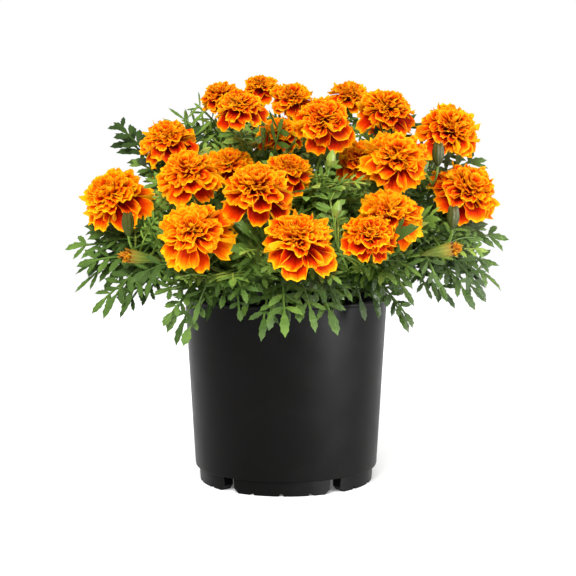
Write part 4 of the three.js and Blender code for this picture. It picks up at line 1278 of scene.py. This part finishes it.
def in_a_bloom(points):
    """Whether any of the points lies in the space that a flower head needs."""
    away = points[:, None, :] - head_middles
    height = (away * head_axes).sum(2)
    out = np.sqrt(np.maximum((away**2).sum(2) - height**2, 0))
    high = np.where(height > 0, BLOOM_ROOM["above"], BLOOM_ROOM["below"]) * head_radii + BLOOM_ROOM["along"]
    return bool((np.hypot(out / (head_radii + BLOOM_ROOM["out"]), height / high) < 1).any())


def before_a_flower(points):
    """Whether any of the points would hide a flower or a bud from where the plant is looked at."""
    away = points[:, None, :] - sight_starts
    along = np.clip((away * sight_ways).sum(2), 0, SIGHT_LENGTH)
    off = np.linalg.norm(away - along[..., None] * sight_ways, axis=2)
    return bool((off < sight_radii).any())


def in_the_pot(points):
    """Whether any of the points lies in the pot's wall, over its rim or in the mix."""
    out = np.hypot(points[:, 0], points[:, 1])
    over_rim = out > RIM_RADIUS - POT_ROOM["rim"]
    floor_there = np.where(over_rim, POT_HEIGHT + POT_ROOM["above"], SOIL_TOP + POT_ROOM["mix"])
    return bool(((out < RIM_RADIUS + POT_ROOM["out"]) & (points[:, 2] < floor_there)).any())


def out_of_the_bush(points):
    """Whether any of the points lies outside the round space that the bush fills."""
    share = (points - BUSH_MIDDLE) / BUSH_RADII
    share[:, 2] = np.maximum(share[:, 2], 0)
    return bool(((share**2).sum(1) > 1).any() or (points[:, 2] < BUSH_BOTTOM * SOIL_TOP).any())


def out_of_the_box(points):
    """Whether any of the points comes too near to the faces of the plant's bounding box."""
    low, high = (np.array(corner) / MM for corner in cad_box)
    return bool((points < low + BOX_ROOM).any() or (points > high - BOX_ROOM).any())


def keep_in_the_box(mesh):
    """Moves a mesh in by the little that it sticks out of the plant's bounding box."""
    spots = np.empty(3 * len(mesh.vertices), np.float32)
    mesh.vertices.foreach_get("co", spots)
    spots = spots.reshape(-1, 3)
    low, high = (np.array(corner) / MM for corner in cad_box)
    shift = np.maximum(low - spots.min(0), 0) - np.maximum(spots.max(0) - high, 0)
    mesh.transform(Matrix.Translation(shift))


def leaf_points(rib, leaflets):
    """Points all over a leaf, to try its place with."""
    spots = [rib(t) for t in (0.15, 0.3, 0.45, 0.6, 0.75, 0.9, 1)]
    for root, out, _, reach in leaflets:
        spots += [root + out * reach * share for share in (0.5, 1)]
    return np.array(spots)


def fits(base, tip, arch, out_of_bounds):
    """Whether a leaf there keeps clear of the flowers and the pot, and within its bounds."""
    rib, _, leaflets = leaf_lines(base, tip, arch)
    spots = leaf_points(rib, leaflets)
    return not (in_a_bloom(spots) or before_a_flower(spots) or in_the_pot(spots) or out_of_bounds(spots))


def add_leaf(sketch, base, tip, arch, tone, slim, chance, kind=None):
    """Adds a leaf to a piece's sketch, with a little chance in each leaflet and plainer ones deep inside."""
    rib, side, leaflets = leaf_lines(base, tip, arch, kind)
    # Painted light: a leaf in the shade between the flowers is painted paler.
    if abs(tip[0]) < MIDDLE_HALF and MIDDLE_HEIGHTS[0] < tip[2] < MIDDLE_HEIGHTS[1]:
        tone = max(tone, min(tone + MIDDLE_PAINTED_LIGHT, MIDDLE_PAINTED_LIGHT_CAP))
    depth = np.linalg.norm((tip - BUSH_MIDDLE) / BUSH_RADII)
    first_kind = len(LEAFLET_SHAPES) if depth < INNER_SHARE else 0
    ribs = [rib(RIB_END * i / RIB_STEPS) for i in range(RIB_STEPS + 1)]
    sketch.line(ribs, np.linspace(*RIB_RADII, RIB_STEPS + 1), min(tone + RIB_PALER, RIB_PALEST))
    for number, (root, out, up, reach) in enumerate(leaflets):
        at_tip = number == len(leaflets) - 1
        stray = np.array([chance.uniform(-STRAY["bend"], STRAY["bend"]) for _ in range(3)])
        bent = out if at_tip else out + stray
        rolled = up + side * chance.uniform(-STRAY["roll"], STRAY["roll"])
        sketch.add(
            root,
            reach=reach * (1 if at_tip else chance.uniform(*STRAY["reach"])),
            wide=slim * chance.uniform(*STRAY["wide"]),
            tone=min(max(tone + chance.uniform(-STRAY["tone"], STRAY["tone"]), 0), 1),
            kind=first_kind + chance.randrange(len(LEAFLET_SHAPES)),
            out=bent / np.linalg.norm(bent),
            up=rolled,
        )


def add_companions(sketch, main, place, tip, arch, chance):
    """Adds slimmer leaves beside a large one, where there is room for them."""
    for _ in range(COMPANIONS["count"] if tip[2] < COMPANIONS["below"] else 1):
        foot = place + chance.uniform(*COMPANIONS["foot"])
        base = on_curve(main, min(max(foot, COMPANIONS["lowest"]), 1))[0]
        for _ in range(LEAF_TRIES):
            share = chance.uniform(*COMPANIONS["share"])
            spread = np.array([chance.uniform(*reach) for reach in COMPANIONS["spread"]])
            other = base + share * (tip + spread - base)
            if fits(base, other, arch, out_of_the_box):
                tone = chance.uniform(*COMPANIONS["tone"])
                add_leaf(sketch, base, other, arch, tone, chance.uniform(*COMPANIONS["slim"]), chance)
                break


def add_small_leaves(sketch, line, form, chance):
    """Fills the space along a stem or a stalk. A leaf that finds no room tries again, shorter and turned."""
    spots = [on_curve(line, i / LINE_STEPS)[0] for i in range(LINE_STEPS + 1)]
    length = sum(np.linalg.norm(b - a) for a, b in zip(spots, spots[1:]))
    count = max(1, int(length / form["apart"]))
    bearing = chance.uniform(0, 360)
    for i in range(count):
        base = on_curve(line, form["from"] + form["over"] * (i + 0.5) / count)[0]
        bearing += GOLDEN_TURN
        outward = math.degrees(math.atan2(base[1], base[0]))
        for attempt in range(LEAF_TRIES):
            faces = bearing + attempt * NEXT_TRY["turn"]
            if attempt % 3 == 2:
                faces = outward + chance.uniform(-NEXT_TRY["outward"], NEXT_TRY["outward"])
            reach = chance.uniform(*form["reach"]) * (1 - NEXT_TRY["shorter"] * attempt)
            tip = base + reach * leaning(faces, chance.uniform(*SMALL_LEANS))
            arch = chance.uniform(SMALL_ARCH[0], SMALL_ARCH[1] * reach)
            if fits(base, tip, arch, out_of_the_bush):
                tone = chance.choice(SMALL_TONES) + chance.uniform(0, SMALL_TONE_CHANCE)
                tone += SMALL_TONE_RISE * (tip[2] - SOIL_TOP) / SMALL_TONE_OVER
                add_leaf(sketch, base, tip, arch, tone, chance.uniform(*SMALL_SLIM), chance)
                break


leaflet_forms = [(teeth, *shape) for teeth in (LEAFLET_TEETH, COARSE_TEETH) for shape in LEAFLET_SHAPES]
leaflets = templates_of("leaflet", [leaflet_mesh("leaflet", *form) for form in leaflet_forms])
for number, (name, (_, _, _, large_leaves)) in enumerate(STEMS.items()):
    chance = random.Random(100 + number)
    sketch = Sketch()
    main, *stalks = stem_lines[name]
    large_leaves = [(place, np.array(tip, float), arch) for place, tip, arch in large_leaves]
    for place, tip, arch in large_leaves:
        tone = chance.uniform(*LARGE_LEAF_TONES)
        tone = DARK_STEMS.get(name, tone)
        add_leaf(sketch, on_curve(main, place)[0], tip, arch, tone, LEAF_KINDS["long"]["wide"], chance)
    for place, tip, arch, tone, kind in LEAVES_AMONG_FLOWERS.get(name, []):
        base, tip = on_curve(main, place)[0], np.array(tip, float)
        add_leaf(sketch, base, tip, arch, tone, LEAF_KINDS[kind]["wide"], chance, kind)
    for place, tip, arch in large_leaves:
        add_companions(sketch, main, place, tip, arch, chance)
    add_small_leaves(sketch, main, SMALL_LEAVES["stem"], chance)
    for stalk in stalks:
        add_small_leaves(sketch, stalk, SMALL_LEAVES["stalk"], chance)
    mesh = grown(name, sketch.mesh(), growth, Templates=leaflets, Sides=3, Material=living_green)
    keep_in_the_box(mesh)
    settle(f"{name}_leaves", mesh, "green_growth", name)


# The flower heads: eight broad rays droop round the outside, two shorter ruffled whorls stand over them, and
# dozens of small frilled florets make the crest. All are velvety, deep red in the throat and gold at the rim.
RAY_GRID = (6, 8)
FRILL_GRID = (4, 8)
# A petal has a narrow claw, is broad towards its rim and has its corners rounded off. Its rows lie closer
# together towards the rim, and its waves are highest along its edges.
PETAL_THICK = 0.012
CLAW_WIDTH = 0.24
CLAW_END = 0.78
RIM_NARROWS = 0.2
CORNER_CUT = 0.13
CORNER_POWER = 2.6
ROW_POWER = 1.35
EDGE_WAVES = 0.55
FLAT = 0.02
# Where along a petal each thing sets in and is complete: the gold at its edges, its cross-section at the rim,
# its waves, its curl and its narrowing.
EDGES_GOLDEN = (0.1, 0.6)
CUPPED = (0, 0.95)
WAVED = (0.35, 1)
CURLED = (0.7, 1)
NARROWED = (0.8, 1.15)


def petal(name, grid, length, width, bend, curl, cups, ruffle, waves, phase, notch, red, dry=0):
    """A petal that grows along X with its upper side at +Z, in a thin body that is closed at its edges.
    bend is how far it turns down over its length and curl how much more at its rim, both in degrees; cups are
    the half angles of its cross-section at its base and at its rim; ruffle is the height of its waves."""
    rows, columns = grid
    top, bottom, facts, faces = {}, {}, {"along": [], "across": [], "rim": [], "under": []}, []
    points = []

    def put(point, t, s, under=0):
        points.append(point)
        facts["along"].append(t)
        facts["across"].append(s)
        facts["rim"].append(max(t, abs(s) * smooth(t, *EDGES_GOLDEN)))
        facts["under"].append(under)
        return len(points) - 1

    steps = [1 - (1 - i / rows) ** ROW_POWER for i in range(rows + 1)]
    sides = [math.sin(math.pi / 2 * (2 * j / columns - 1)) for j in range(columns + 1)]
    spine, previous = [], 0
    x = z = 0
    for t in steps:
        angle = -math.radians(bend * t + curl * smooth(t, *CURLED))
        x += (t - previous) * length * math.cos(angle)
        z += (t - previous) * length * math.sin(angle)
        previous = t
        spine.append((x, z, angle))
    for i, t in enumerate(steps):
        x, z, angle = spine[i]
        claw = CLAW_WIDTH + (1 - CLAW_WIDTH) * math.sin(math.pi / 2 * min(t / CLAW_END, 1))
        half = width / 2 * (claw - RIM_NARROWS * smooth(t, *NARROWED))
        hollow = math.radians(cups[0] + (cups[1] - cups[0]) * smooth(t, *CUPPED))
        for j, s in enumerate(sides):
            turn = waves * math.pi * s + phase
            corner = CORNER_CUT * abs(s) ** CORNER_POWER
            cut = -length * t**3 * (corner + notch * (0.5 - 0.5 * math.cos(turn)))
            bow = hollow * s
            y = half * (math.sin(bow) / hollow if abs(hollow) > FLAT else s)
            up = half * ((1 - math.cos(bow)) / hollow if abs(hollow) > FLAT else 0)
            up += ruffle * math.sin(turn) * smooth(t, *WAVED) * (1 - EDGE_WAVES + EDGE_WAVES * abs(s))
            px = x + cut * math.cos(angle) - up * math.sin(angle)
            pz = z + cut * math.sin(angle) + up * math.cos(angle)
            top[i, j] = put((px, y, pz), t, s)
            inner = 0 < i < rows and 0 < j < columns
            sunk = (px + PETAL_THICK * math.sin(angle), y, pz - PETAL_THICK * math.cos(angle))
            bottom[i, j] = put(sunk, t, s, 1) if inner else top[i, j]
    for i in range(rows):
        for j in range(columns):
            ring = [(i, j), (i + 1, j), (i + 1, j + 1), (i, j + 1)]
            if (j < columns / 2) == (i >= rows / 2):
                ring = ring[1:] + ring[:1]
            for three in (ring[:3], [ring[0], ring[2], ring[3]]):
                faces.append([top[k] for k in three])
                faces.append([bottom[k] for k in reversed(three)])
    return mesh_of(name, points, faces, 75, red=[red] * len(points), dry=[dry] * len(points), **facts)


# Each form of petal: its length and width, its bend and curl, the half angles of its cross-section, the
# height, number and start of its waves, the depth of its notches and how red its throat is.
OUTER_RAYS = (
    (1.04, 0.78, 44, 10, (56, 48), 0.08, 2.9, 0.4, 0.08, 1.0),
    (0.98, 0.7, 36, 26, (62, 42), 0.09, 3.5, 2.0, 0.1, 0.9),
    (1.06, 0.8, 50, -14, (52, 54), 0.075, 2.5, 3.5, 0.075, 1.0),
    (0.99, 0.66, 46, -30, (66, 56), 0.09, 3.2, 5.0, 0.09, 0.86),
)
INNER_RAYS = (
    (0.88, 0.68, 40, 12, (70, 56), 0.09, 3.1, 0.9, 0.08, 1.0),
    (0.82, 0.58, 32, 28, (80, 48), 0.1, 3.7, 2.4, 0.1, 0.9),
    (0.9, 0.7, 46, -12, (64, 62), 0.085, 2.8, 4.2, 0.07, 1.0),
    (0.8, 0.56, 28, 36, (88, 44), 0.1, 4.0, 5.6, 0.1, 0.86),
)
FRILLS = (
    (0.58, 0.36, 14, 14, (130, 66), 0.055, 3.0, 0.3, 0.07, 0.8),
    (0.55, 0.4, 8, 30, (140, 48), 0.06, 3.6, 1.5, 0.09, 0.7),
    (0.6, 0.34, 20, -8, (120, 84), 0.055, 2.6, 2.9, 0.07, 0.88),
    (0.56, 0.42, 10, 16, (140, 58), 0.06, 4.0, 4.4, 0.08, 0.68),
    (0.53, 0.38, 4, 40, (130, 42), 0.055, 3.3, 5.7, 0.07, 0.74),
)
outer_rays = templates_of("outer_ray", [petal("ray", RAY_GRID, *form) for form in OUTER_RAYS])
inner_rays = templates_of("inner_ray", [petal("ray", RAY_GRID, *form) for form in INNER_RAYS])
frills = templates_of("frill", [petal("frill", FRILL_GRID, *form) for form in FRILLS])

# One whorl: points on a spiral, each with a petal that leans further out from the first to the last. Its
# looseness lets each petal stray from the rule.
WHORL_SOCKETS = {
    "Petals": "Collection",
    "Count": "Int",
    "Step": "Float",
    "Lean first": "Float",
    "Lean last": "Float",
    "Evenness": "Float",
    "Out": "Float",
    "Rise first": "Float",
    "Rise last": "Float",
    "Size first": "Float",
    "Size last": "Float",
    "Looseness": "Float",
    "Turn": "Float",
    "Seed": "Int",
}
IN_DEGREES = ("Step", "Lean first", "Lean last")
TURN_LOOSENESS = 1.4
SIZE_LOOSENESS = 0.6
tree, given, leave = new_tree("whorl", WHORL_SOCKETS)
spots = add_node(tree, "GeometryNodePoints", {"Count": given["Count"]})
index = add_node(tree, "GeometryNodeInputIndex")
last_index = math_node(tree, "MAXIMUM", math_node(tree, "SUBTRACT", given["Count"], 1), 1)
eased = math_node(tree, "POWER", math_node(tree, "DIVIDE", index, last_index), given["Evenness"])


def between(low, high):
    """A number carried from one input to another over the whorl."""
    return math_node(tree, "MULTIPLY_ADD", math_node(tree, "SUBTRACT", high, low), eased, low)


def wobble(offset):
    """A random number on each petal, as wide as the whorl is loose."""
    value = random_value(tree, -1.0, 1.0, math_node(tree, "ADD", given["Seed"], offset))
    return math_node(tree, "MULTIPLY", value, given["Looseness"])


start = math_node(tree, "ADD", given["Turn"], wobble(1))
bearing = math_node(tree, "MULTIPLY_ADD", index, given["Step"], start)
lean = math_node(tree, "ADD", between(given["Lean first"], given["Lean last"]), wobble(2))
out = math_node(tree, "MULTIPLY", given["Out"], eased)
where = add_node(
    tree,
    "ShaderNodeCombineXYZ",
    {
        "X": math_node(tree, "MULTIPLY", out, math_node(tree, "COSINE", bearing)),
        "Y": math_node(tree, "MULTIPLY", out, math_node(tree, "SINE", bearing)),
        "Z": between(given["Rise first"], given["Rise last"]),
    },
)
spots = add_node(tree, "GeometryNodeSetPosition", {"Geometry": spots, "Position": where})
turn = add_node(
    tree,
    "ShaderNodeCombineXYZ",
    {
        "X": math_node(tree, "MULTIPLY", wobble(3), TURN_LOOSENESS),
        "Y": math_node(tree, "SUBTRACT", lean, math.pi / 2),
        "Z": bearing,
    },
)
size = between(given["Size first"], given["Size last"])
size = math_node(tree, "ADD", size, math_node(tree, "MULTIPLY", wobble(4), SIZE_LOOSENESS))
petals = add_node(
    tree,
    "GeometryNodeCollectionInfo",
    {"Collection": given["Petals"], "Separate Children": True, "Reset Children": True},
)
copies = add_node(
    tree,
    "GeometryNodeInstanceOnPoints",
    {
        "Points": spots,
        "Instance": petals,
        "Pick Instance": True,
        "Instance Index": random_value(tree, 0, 9, math_node(tree, "ADD", given["Seed"], 5), "INT"),
        "Rotation": turn,
        "Scale": size,
    },
)
own = random_value(tree, 0.0, 1.0, math_node(tree, "ADD", given["Seed"], 6))
tree.links.new(stored(tree, copies, "own", own, "INSTANCE"), leave)
whorl = tree


def add_whorl(tree, form, turn, seed):
    """The petals of one whorl in a tree, from a row of its inputs in their order."""
    node = tree.nodes.new("GeometryNodeGroup")
    node.node_tree = whorl
    for key, value in zip(WHORL_SOCKETS, form):
        node.inputs[key].default_value = math.radians(value) if key in IN_DEGREES else value
    node.inputs["Turn"].default_value = turn
    tree.links.new(seed, node.inputs["Seed"])
    return node.outputs[0]


# A whole head: four whorls, drawn to the head's size, and then crumpled a little so that no two are alike.
WHORLS = (
    (outer_rays, 8, 45, 80, 88, 1, 0.14, -0.1, -0.1, 1.0, 1.0, 0.15),
    (inner_rays, 8, 45, 70, 78, 1, 0.12, -0.03, -0.03, 1.1, 1.02, 0.2),
    (inner_rays, 7, 51.4, 50, 60, 1, 0.12, 0.04, 0.04, 1.0, 0.94, 0.22),
    (frills, 58, GOLDEN_TURN, 2, 58, 0.55, 0.26, 0.2, 0.06, 0.86, 1.04, 0.22),
)
WHORL_TURN = 0.39
CRUMPLE = 0.22
CRUMPLE_SCALE = 2.6
sockets = {"Size": "Float", "Seed": "Int", "Red": "Float", "Crumple": "Float", "Material": "Material"}
tree, given, leave = new_tree("flower_head", sockets)
everything = tree.nodes.new("GeometryNodeJoinGeometry")
for k, form in enumerate(WHORLS):
    seed = math_node(tree, "ADD", given["Seed"], 20 * k)
    tree.links.new(add_whorl(tree, form, WHORL_TURN * k, seed), everything.inputs[0])
whole = add_node(tree, "GeometryNodeRealizeInstances", {"Geometry": everything.outputs[0]})
place = add_node(tree, "GeometryNodeInputPosition")
drift = math_node(tree, "MULTIPLY", given["Seed"], 1.7)
noise = add_node(
    tree,
    "ShaderNodeTexNoise",
    {"Vector": place, "W": drift, "Scale": CRUMPLE_SCALE, "Detail": 1.0},
    out="Color",
    noise_dimensions="4D",
)
middle = add_node(tree, "ShaderNodeVectorMath", {0: noise, 1: (0.5, 0.5, 0.5)}, operation="SUBTRACT")
push = add_node(tree, "ShaderNodeVectorMath", {0: middle, "Scale": given["Crumple"]}, operation="SCALE")
whole = add_node(tree, "GeometryNodeSetPosition", {"Geometry": whole, "Offset": push})
blushing = stored(tree, whole, "blush", given["Red"])
scale = add_node(tree, "ShaderNodeCombineXYZ", {"X": given["Size"], "Y": given["Size"], "Z": given["Size"]})
full_size = add_node(tree, "GeometryNodeTransform", {"Geometry": blushing, "Scale": scale})
dressed = add_node(tree, "GeometryNodeSetMaterial", {"Geometry": full_size, "Material": given["Material"]})
tree.links.new(dressed, leave)
flower_head = tree

# The velvet of the petals runs from a dark red throat to a golden rim. The redder a petal is, the darker it
# starts and the nearer to its rim it warms up. Its underside is more golden, and the straps of an opening bud
# are dry and brown.
PETAL_COLOURS = (
    (0.0, (0.16, 0.002, 0.0005, 1)),
    (0.28, (0.36, 0.009, 0.0006, 1)),
    (0.48, (0.62, 0.032, 0.0008, 1)),
    (0.64, (0.88, 0.12, 0.001, 1)),
    (0.79, (0.98, 0.24, 0.0015, 1)),
    (0.92, (1.0, 0.43, 0.006, 1)),
)
DRY = (0.36, 0.14, 0.016, 1)
PETAL_FACTS = ("along", "across", "rim", "own", "red", "blush", "under", "dry")
# The fine streaks along a petal: how they crowd across it, stretch along it and differ from petal to petal.
STREAKS = {"across": 5.0, "along": 0.8, "own": 30.0}
STREAK_SCALE = 1.6
RIDGE_SCALE = 3.5
# A petal's warmth is its place among the colours: where it starts in the throat of a petal with no red, how
# steeply it rises in the plainest and in the reddest, and what moves it.
BLUSH_SHARE = 0.45
PLAIN_START = 0.6
STEEPNESS = (1.3, 3.6)
STREAK_WARMTH = 0.4
OWN_WARMTH = 0.14
UNDERSIDE_WARMTH = 0.4
PLAIN_COOLER = 0.26

petal_velvet, tree, shader = new_material(
    "petal_velvet",
    Roughness=0.9,
    Specular_IOR_Level=0.01,
    Subsurface_Weight=0.3,
    Subsurface_Radius=(1.0, 0.3, 0.05),
    Subsurface_Scale=0.003,
)
fields = {name: attribute(tree, name) for name in PETAL_FACTS}
streak_place = add_node(
    tree,
    "ShaderNodeCombineXYZ",
    {
        "X": math_node(tree, "MULTIPLY", fields["across"], STREAKS["across"]),
        "Y": math_node(tree, "MULTIPLY", fields["along"], STREAKS["along"]),
        "Z": math_node(tree, "MULTIPLY", fields["own"], STREAKS["own"]),
    },
)
facts = {"Vector": streak_place, "Scale": STREAK_SCALE, "Detail": 3.0}
streaks = add_node(tree, "ShaderNodeTexNoise", facts)
blushed = math_node(tree, "MULTIPLY_ADD", fields["blush"], BLUSH_SHARE, 1 - BLUSH_SHARE)
heat = math_node(tree, "MULTIPLY", fields["red"], blushed)
lowest = math_node(tree, "MULTIPLY_ADD", heat, -PLAIN_START, PLAIN_START)
steepness = math_node(tree, "MULTIPLY_ADD", heat, STEEPNESS[1] - STEEPNESS[0], STEEPNESS[0])
towards_rim = math_node(tree, "POWER", fields["rim"], steepness)
warmth = math_node(tree, "MULTIPLY_ADD", towards_rim, math_node(tree, "SUBTRACT", 1.0, lowest), lowest)
for value, share in ((streaks, STREAK_WARMTH), (fields["own"], OWN_WARMTH)):
    warmth = math_node(tree, "MULTIPLY_ADD", math_node(tree, "SUBTRACT", value, 0.5), share, warmth)
warmth = math_node(tree, "MULTIPLY_ADD", fields["under"], UNDERSIDE_WARMTH, warmth)
cooled = math_node(tree, "MULTIPLY_ADD", fields["red"], PLAIN_COOLER, 1 - PLAIN_COOLER)
velvet = colours_along(tree, math_node(tree, "MULTIPLY", warmth, cooled), PETAL_COLOURS)
tree.links.new(blend_colours(tree, fields["dry"], velvet, DRY), shader.inputs["Base Color"])
facts = {"Vector": streak_place, "Scale": RIDGE_SCALE, "Detail": 2.0}
bump(tree, shader, add_node(tree, "ShaderNodeTexNoise", facts), 0.0008, 0.6)

# How red the throats of the flowers at the front are. The others take theirs by chance.
REDNESS = {
    "bloom_01": 0.75,
    "bloom_02": 0.5,
    "bloom_03": 0.3,
    "bloom_04": 0.85,
    "bloom_05": 0.8,
    "bloom_06": 0.3,
    "bloom_07": 0.5,
    "bloom_08": 0.9,
    "bloom_09": 0.3,
    "bloom_10": 0.7,
    "bloom_11": 0.55,
    "bloom_12": 0.5,
    "bloom_13": 0.5,
    "bloom_14": 0.15,
    "bloom_15": 0.8,
    "bloom_16": 0.85,
    "bloom_17": 0.25,
    "bloom_18": 0.8,
    "bloom_19": 0.9,
    "bloom_20": 0.35,
    "bloom_21": 0.75,
}
CHANCE_REDNESS = (0.35, 1.0)
# A few heads have spread a little wider than the room that is kept for them.
FULLER = {"bloom_08": 1.05, "bloom_11": 1.05, "bloom_12": 1.06, "bloom_13": 1.08}
BLOOM_SPIN = 29


def stance(middle, faces, leans):
    """The move that brings an upright head to its place on the plant, where it leans its own way."""
    turn = Vector((0, 0, 1)).rotation_difference(Vector(leaning(faces, leans)))
    return Matrix.Translation(middle) @ turn.to_matrix().to_4x4()


blank = bpy.data.meshes.new("blank")
for number, (name, (middle, radius, faces, leans)) in enumerate(BLOOMS.items()):
    chance = random.Random(name)
    mesh = grown(
        name,
        blank,
        flower_head,
        Size=radius * FULLER.get(name, 1.0),
        Seed=101 * (number + 1),
        Red=REDNESS.get(name, chance.uniform(*CHANCE_REDNESS)),
        Crumple=CRUMPLE,
        Material=petal_velvet,
    )
    spin = Matrix.Rotation(math.radians(BLOOM_SPIN * number), 4, "Z")
    mesh.transform(stance(middle, faces, leans) @ spin)
    keep_in_the_box(mesh)
    settle(f"{name}_head", mesh, "petals", name)


# The opening buds: a tuft of narrow petals, still rolled and a little dry, that has just pushed out of the
# green cup and stands in its mouth.
TUFT_SIZE = 24
TUFT_BLUSH = 1.5
# Each form of strap: as a petal, and then how dry it is.
STRAPS = (
    (0.56, 0.2, 8, 30, (130, 90), 0.03, 2.0, 0.3, 0.1, 1.0, 0.7),
    (0.5, 0.24, -6, 44, (120, 70), 0.03, 3.0, 1.5, 0.12, 0.8, 0.35),
    (0.6, 0.18, 12, -30, (130, 100), 0.03, 2.4, 2.9, 0.1, 1.0, 0.8),
)
straps = templates_of("strap", [petal("strap", FRILL_GRID, *form) for form in STRAPS])
TUFT_WHORL = (straps, 20, GOLDEN_TURN, 2, 20, 0.6, 0.1, -0.08, -0.14, 0.95, 0.6, 0.2)
tree, given, leave = new_tree("bud_tuft", {"Seed": "Int", "Material": "Material"})
petals = add_whorl(tree, TUFT_WHORL, 0, given["Seed"])
whole = add_node(tree, "GeometryNodeRealizeInstances", {"Geometry": petals})
blushing = stored(tree, whole, "blush", TUFT_BLUSH)
dressed = add_node(tree, "GeometryNodeSetMaterial", {"Geometry": blushing, "Material": given["Material"]})
tree.links.new(dressed, leave)
for number, (name, (middle, _, faces, leans, length, form, _)) in enumerate(BUDS.items()):
    if form != "open_bud":
        continue
    mesh = grown(name, blank, tree, Seed=500 + number, Material=petal_velvet)
    seat = Matrix.Translation((0, 0, length / 2))
    mesh.transform(stance(middle, faces, leans) @ seat @ Matrix.Scale(TUFT_SIZE, 4))
    settle(f"{name}_tuft", mesh, "petals", f"{name}_petals")


# The scene is brought up to date.
bpy.context.view_layer.update()
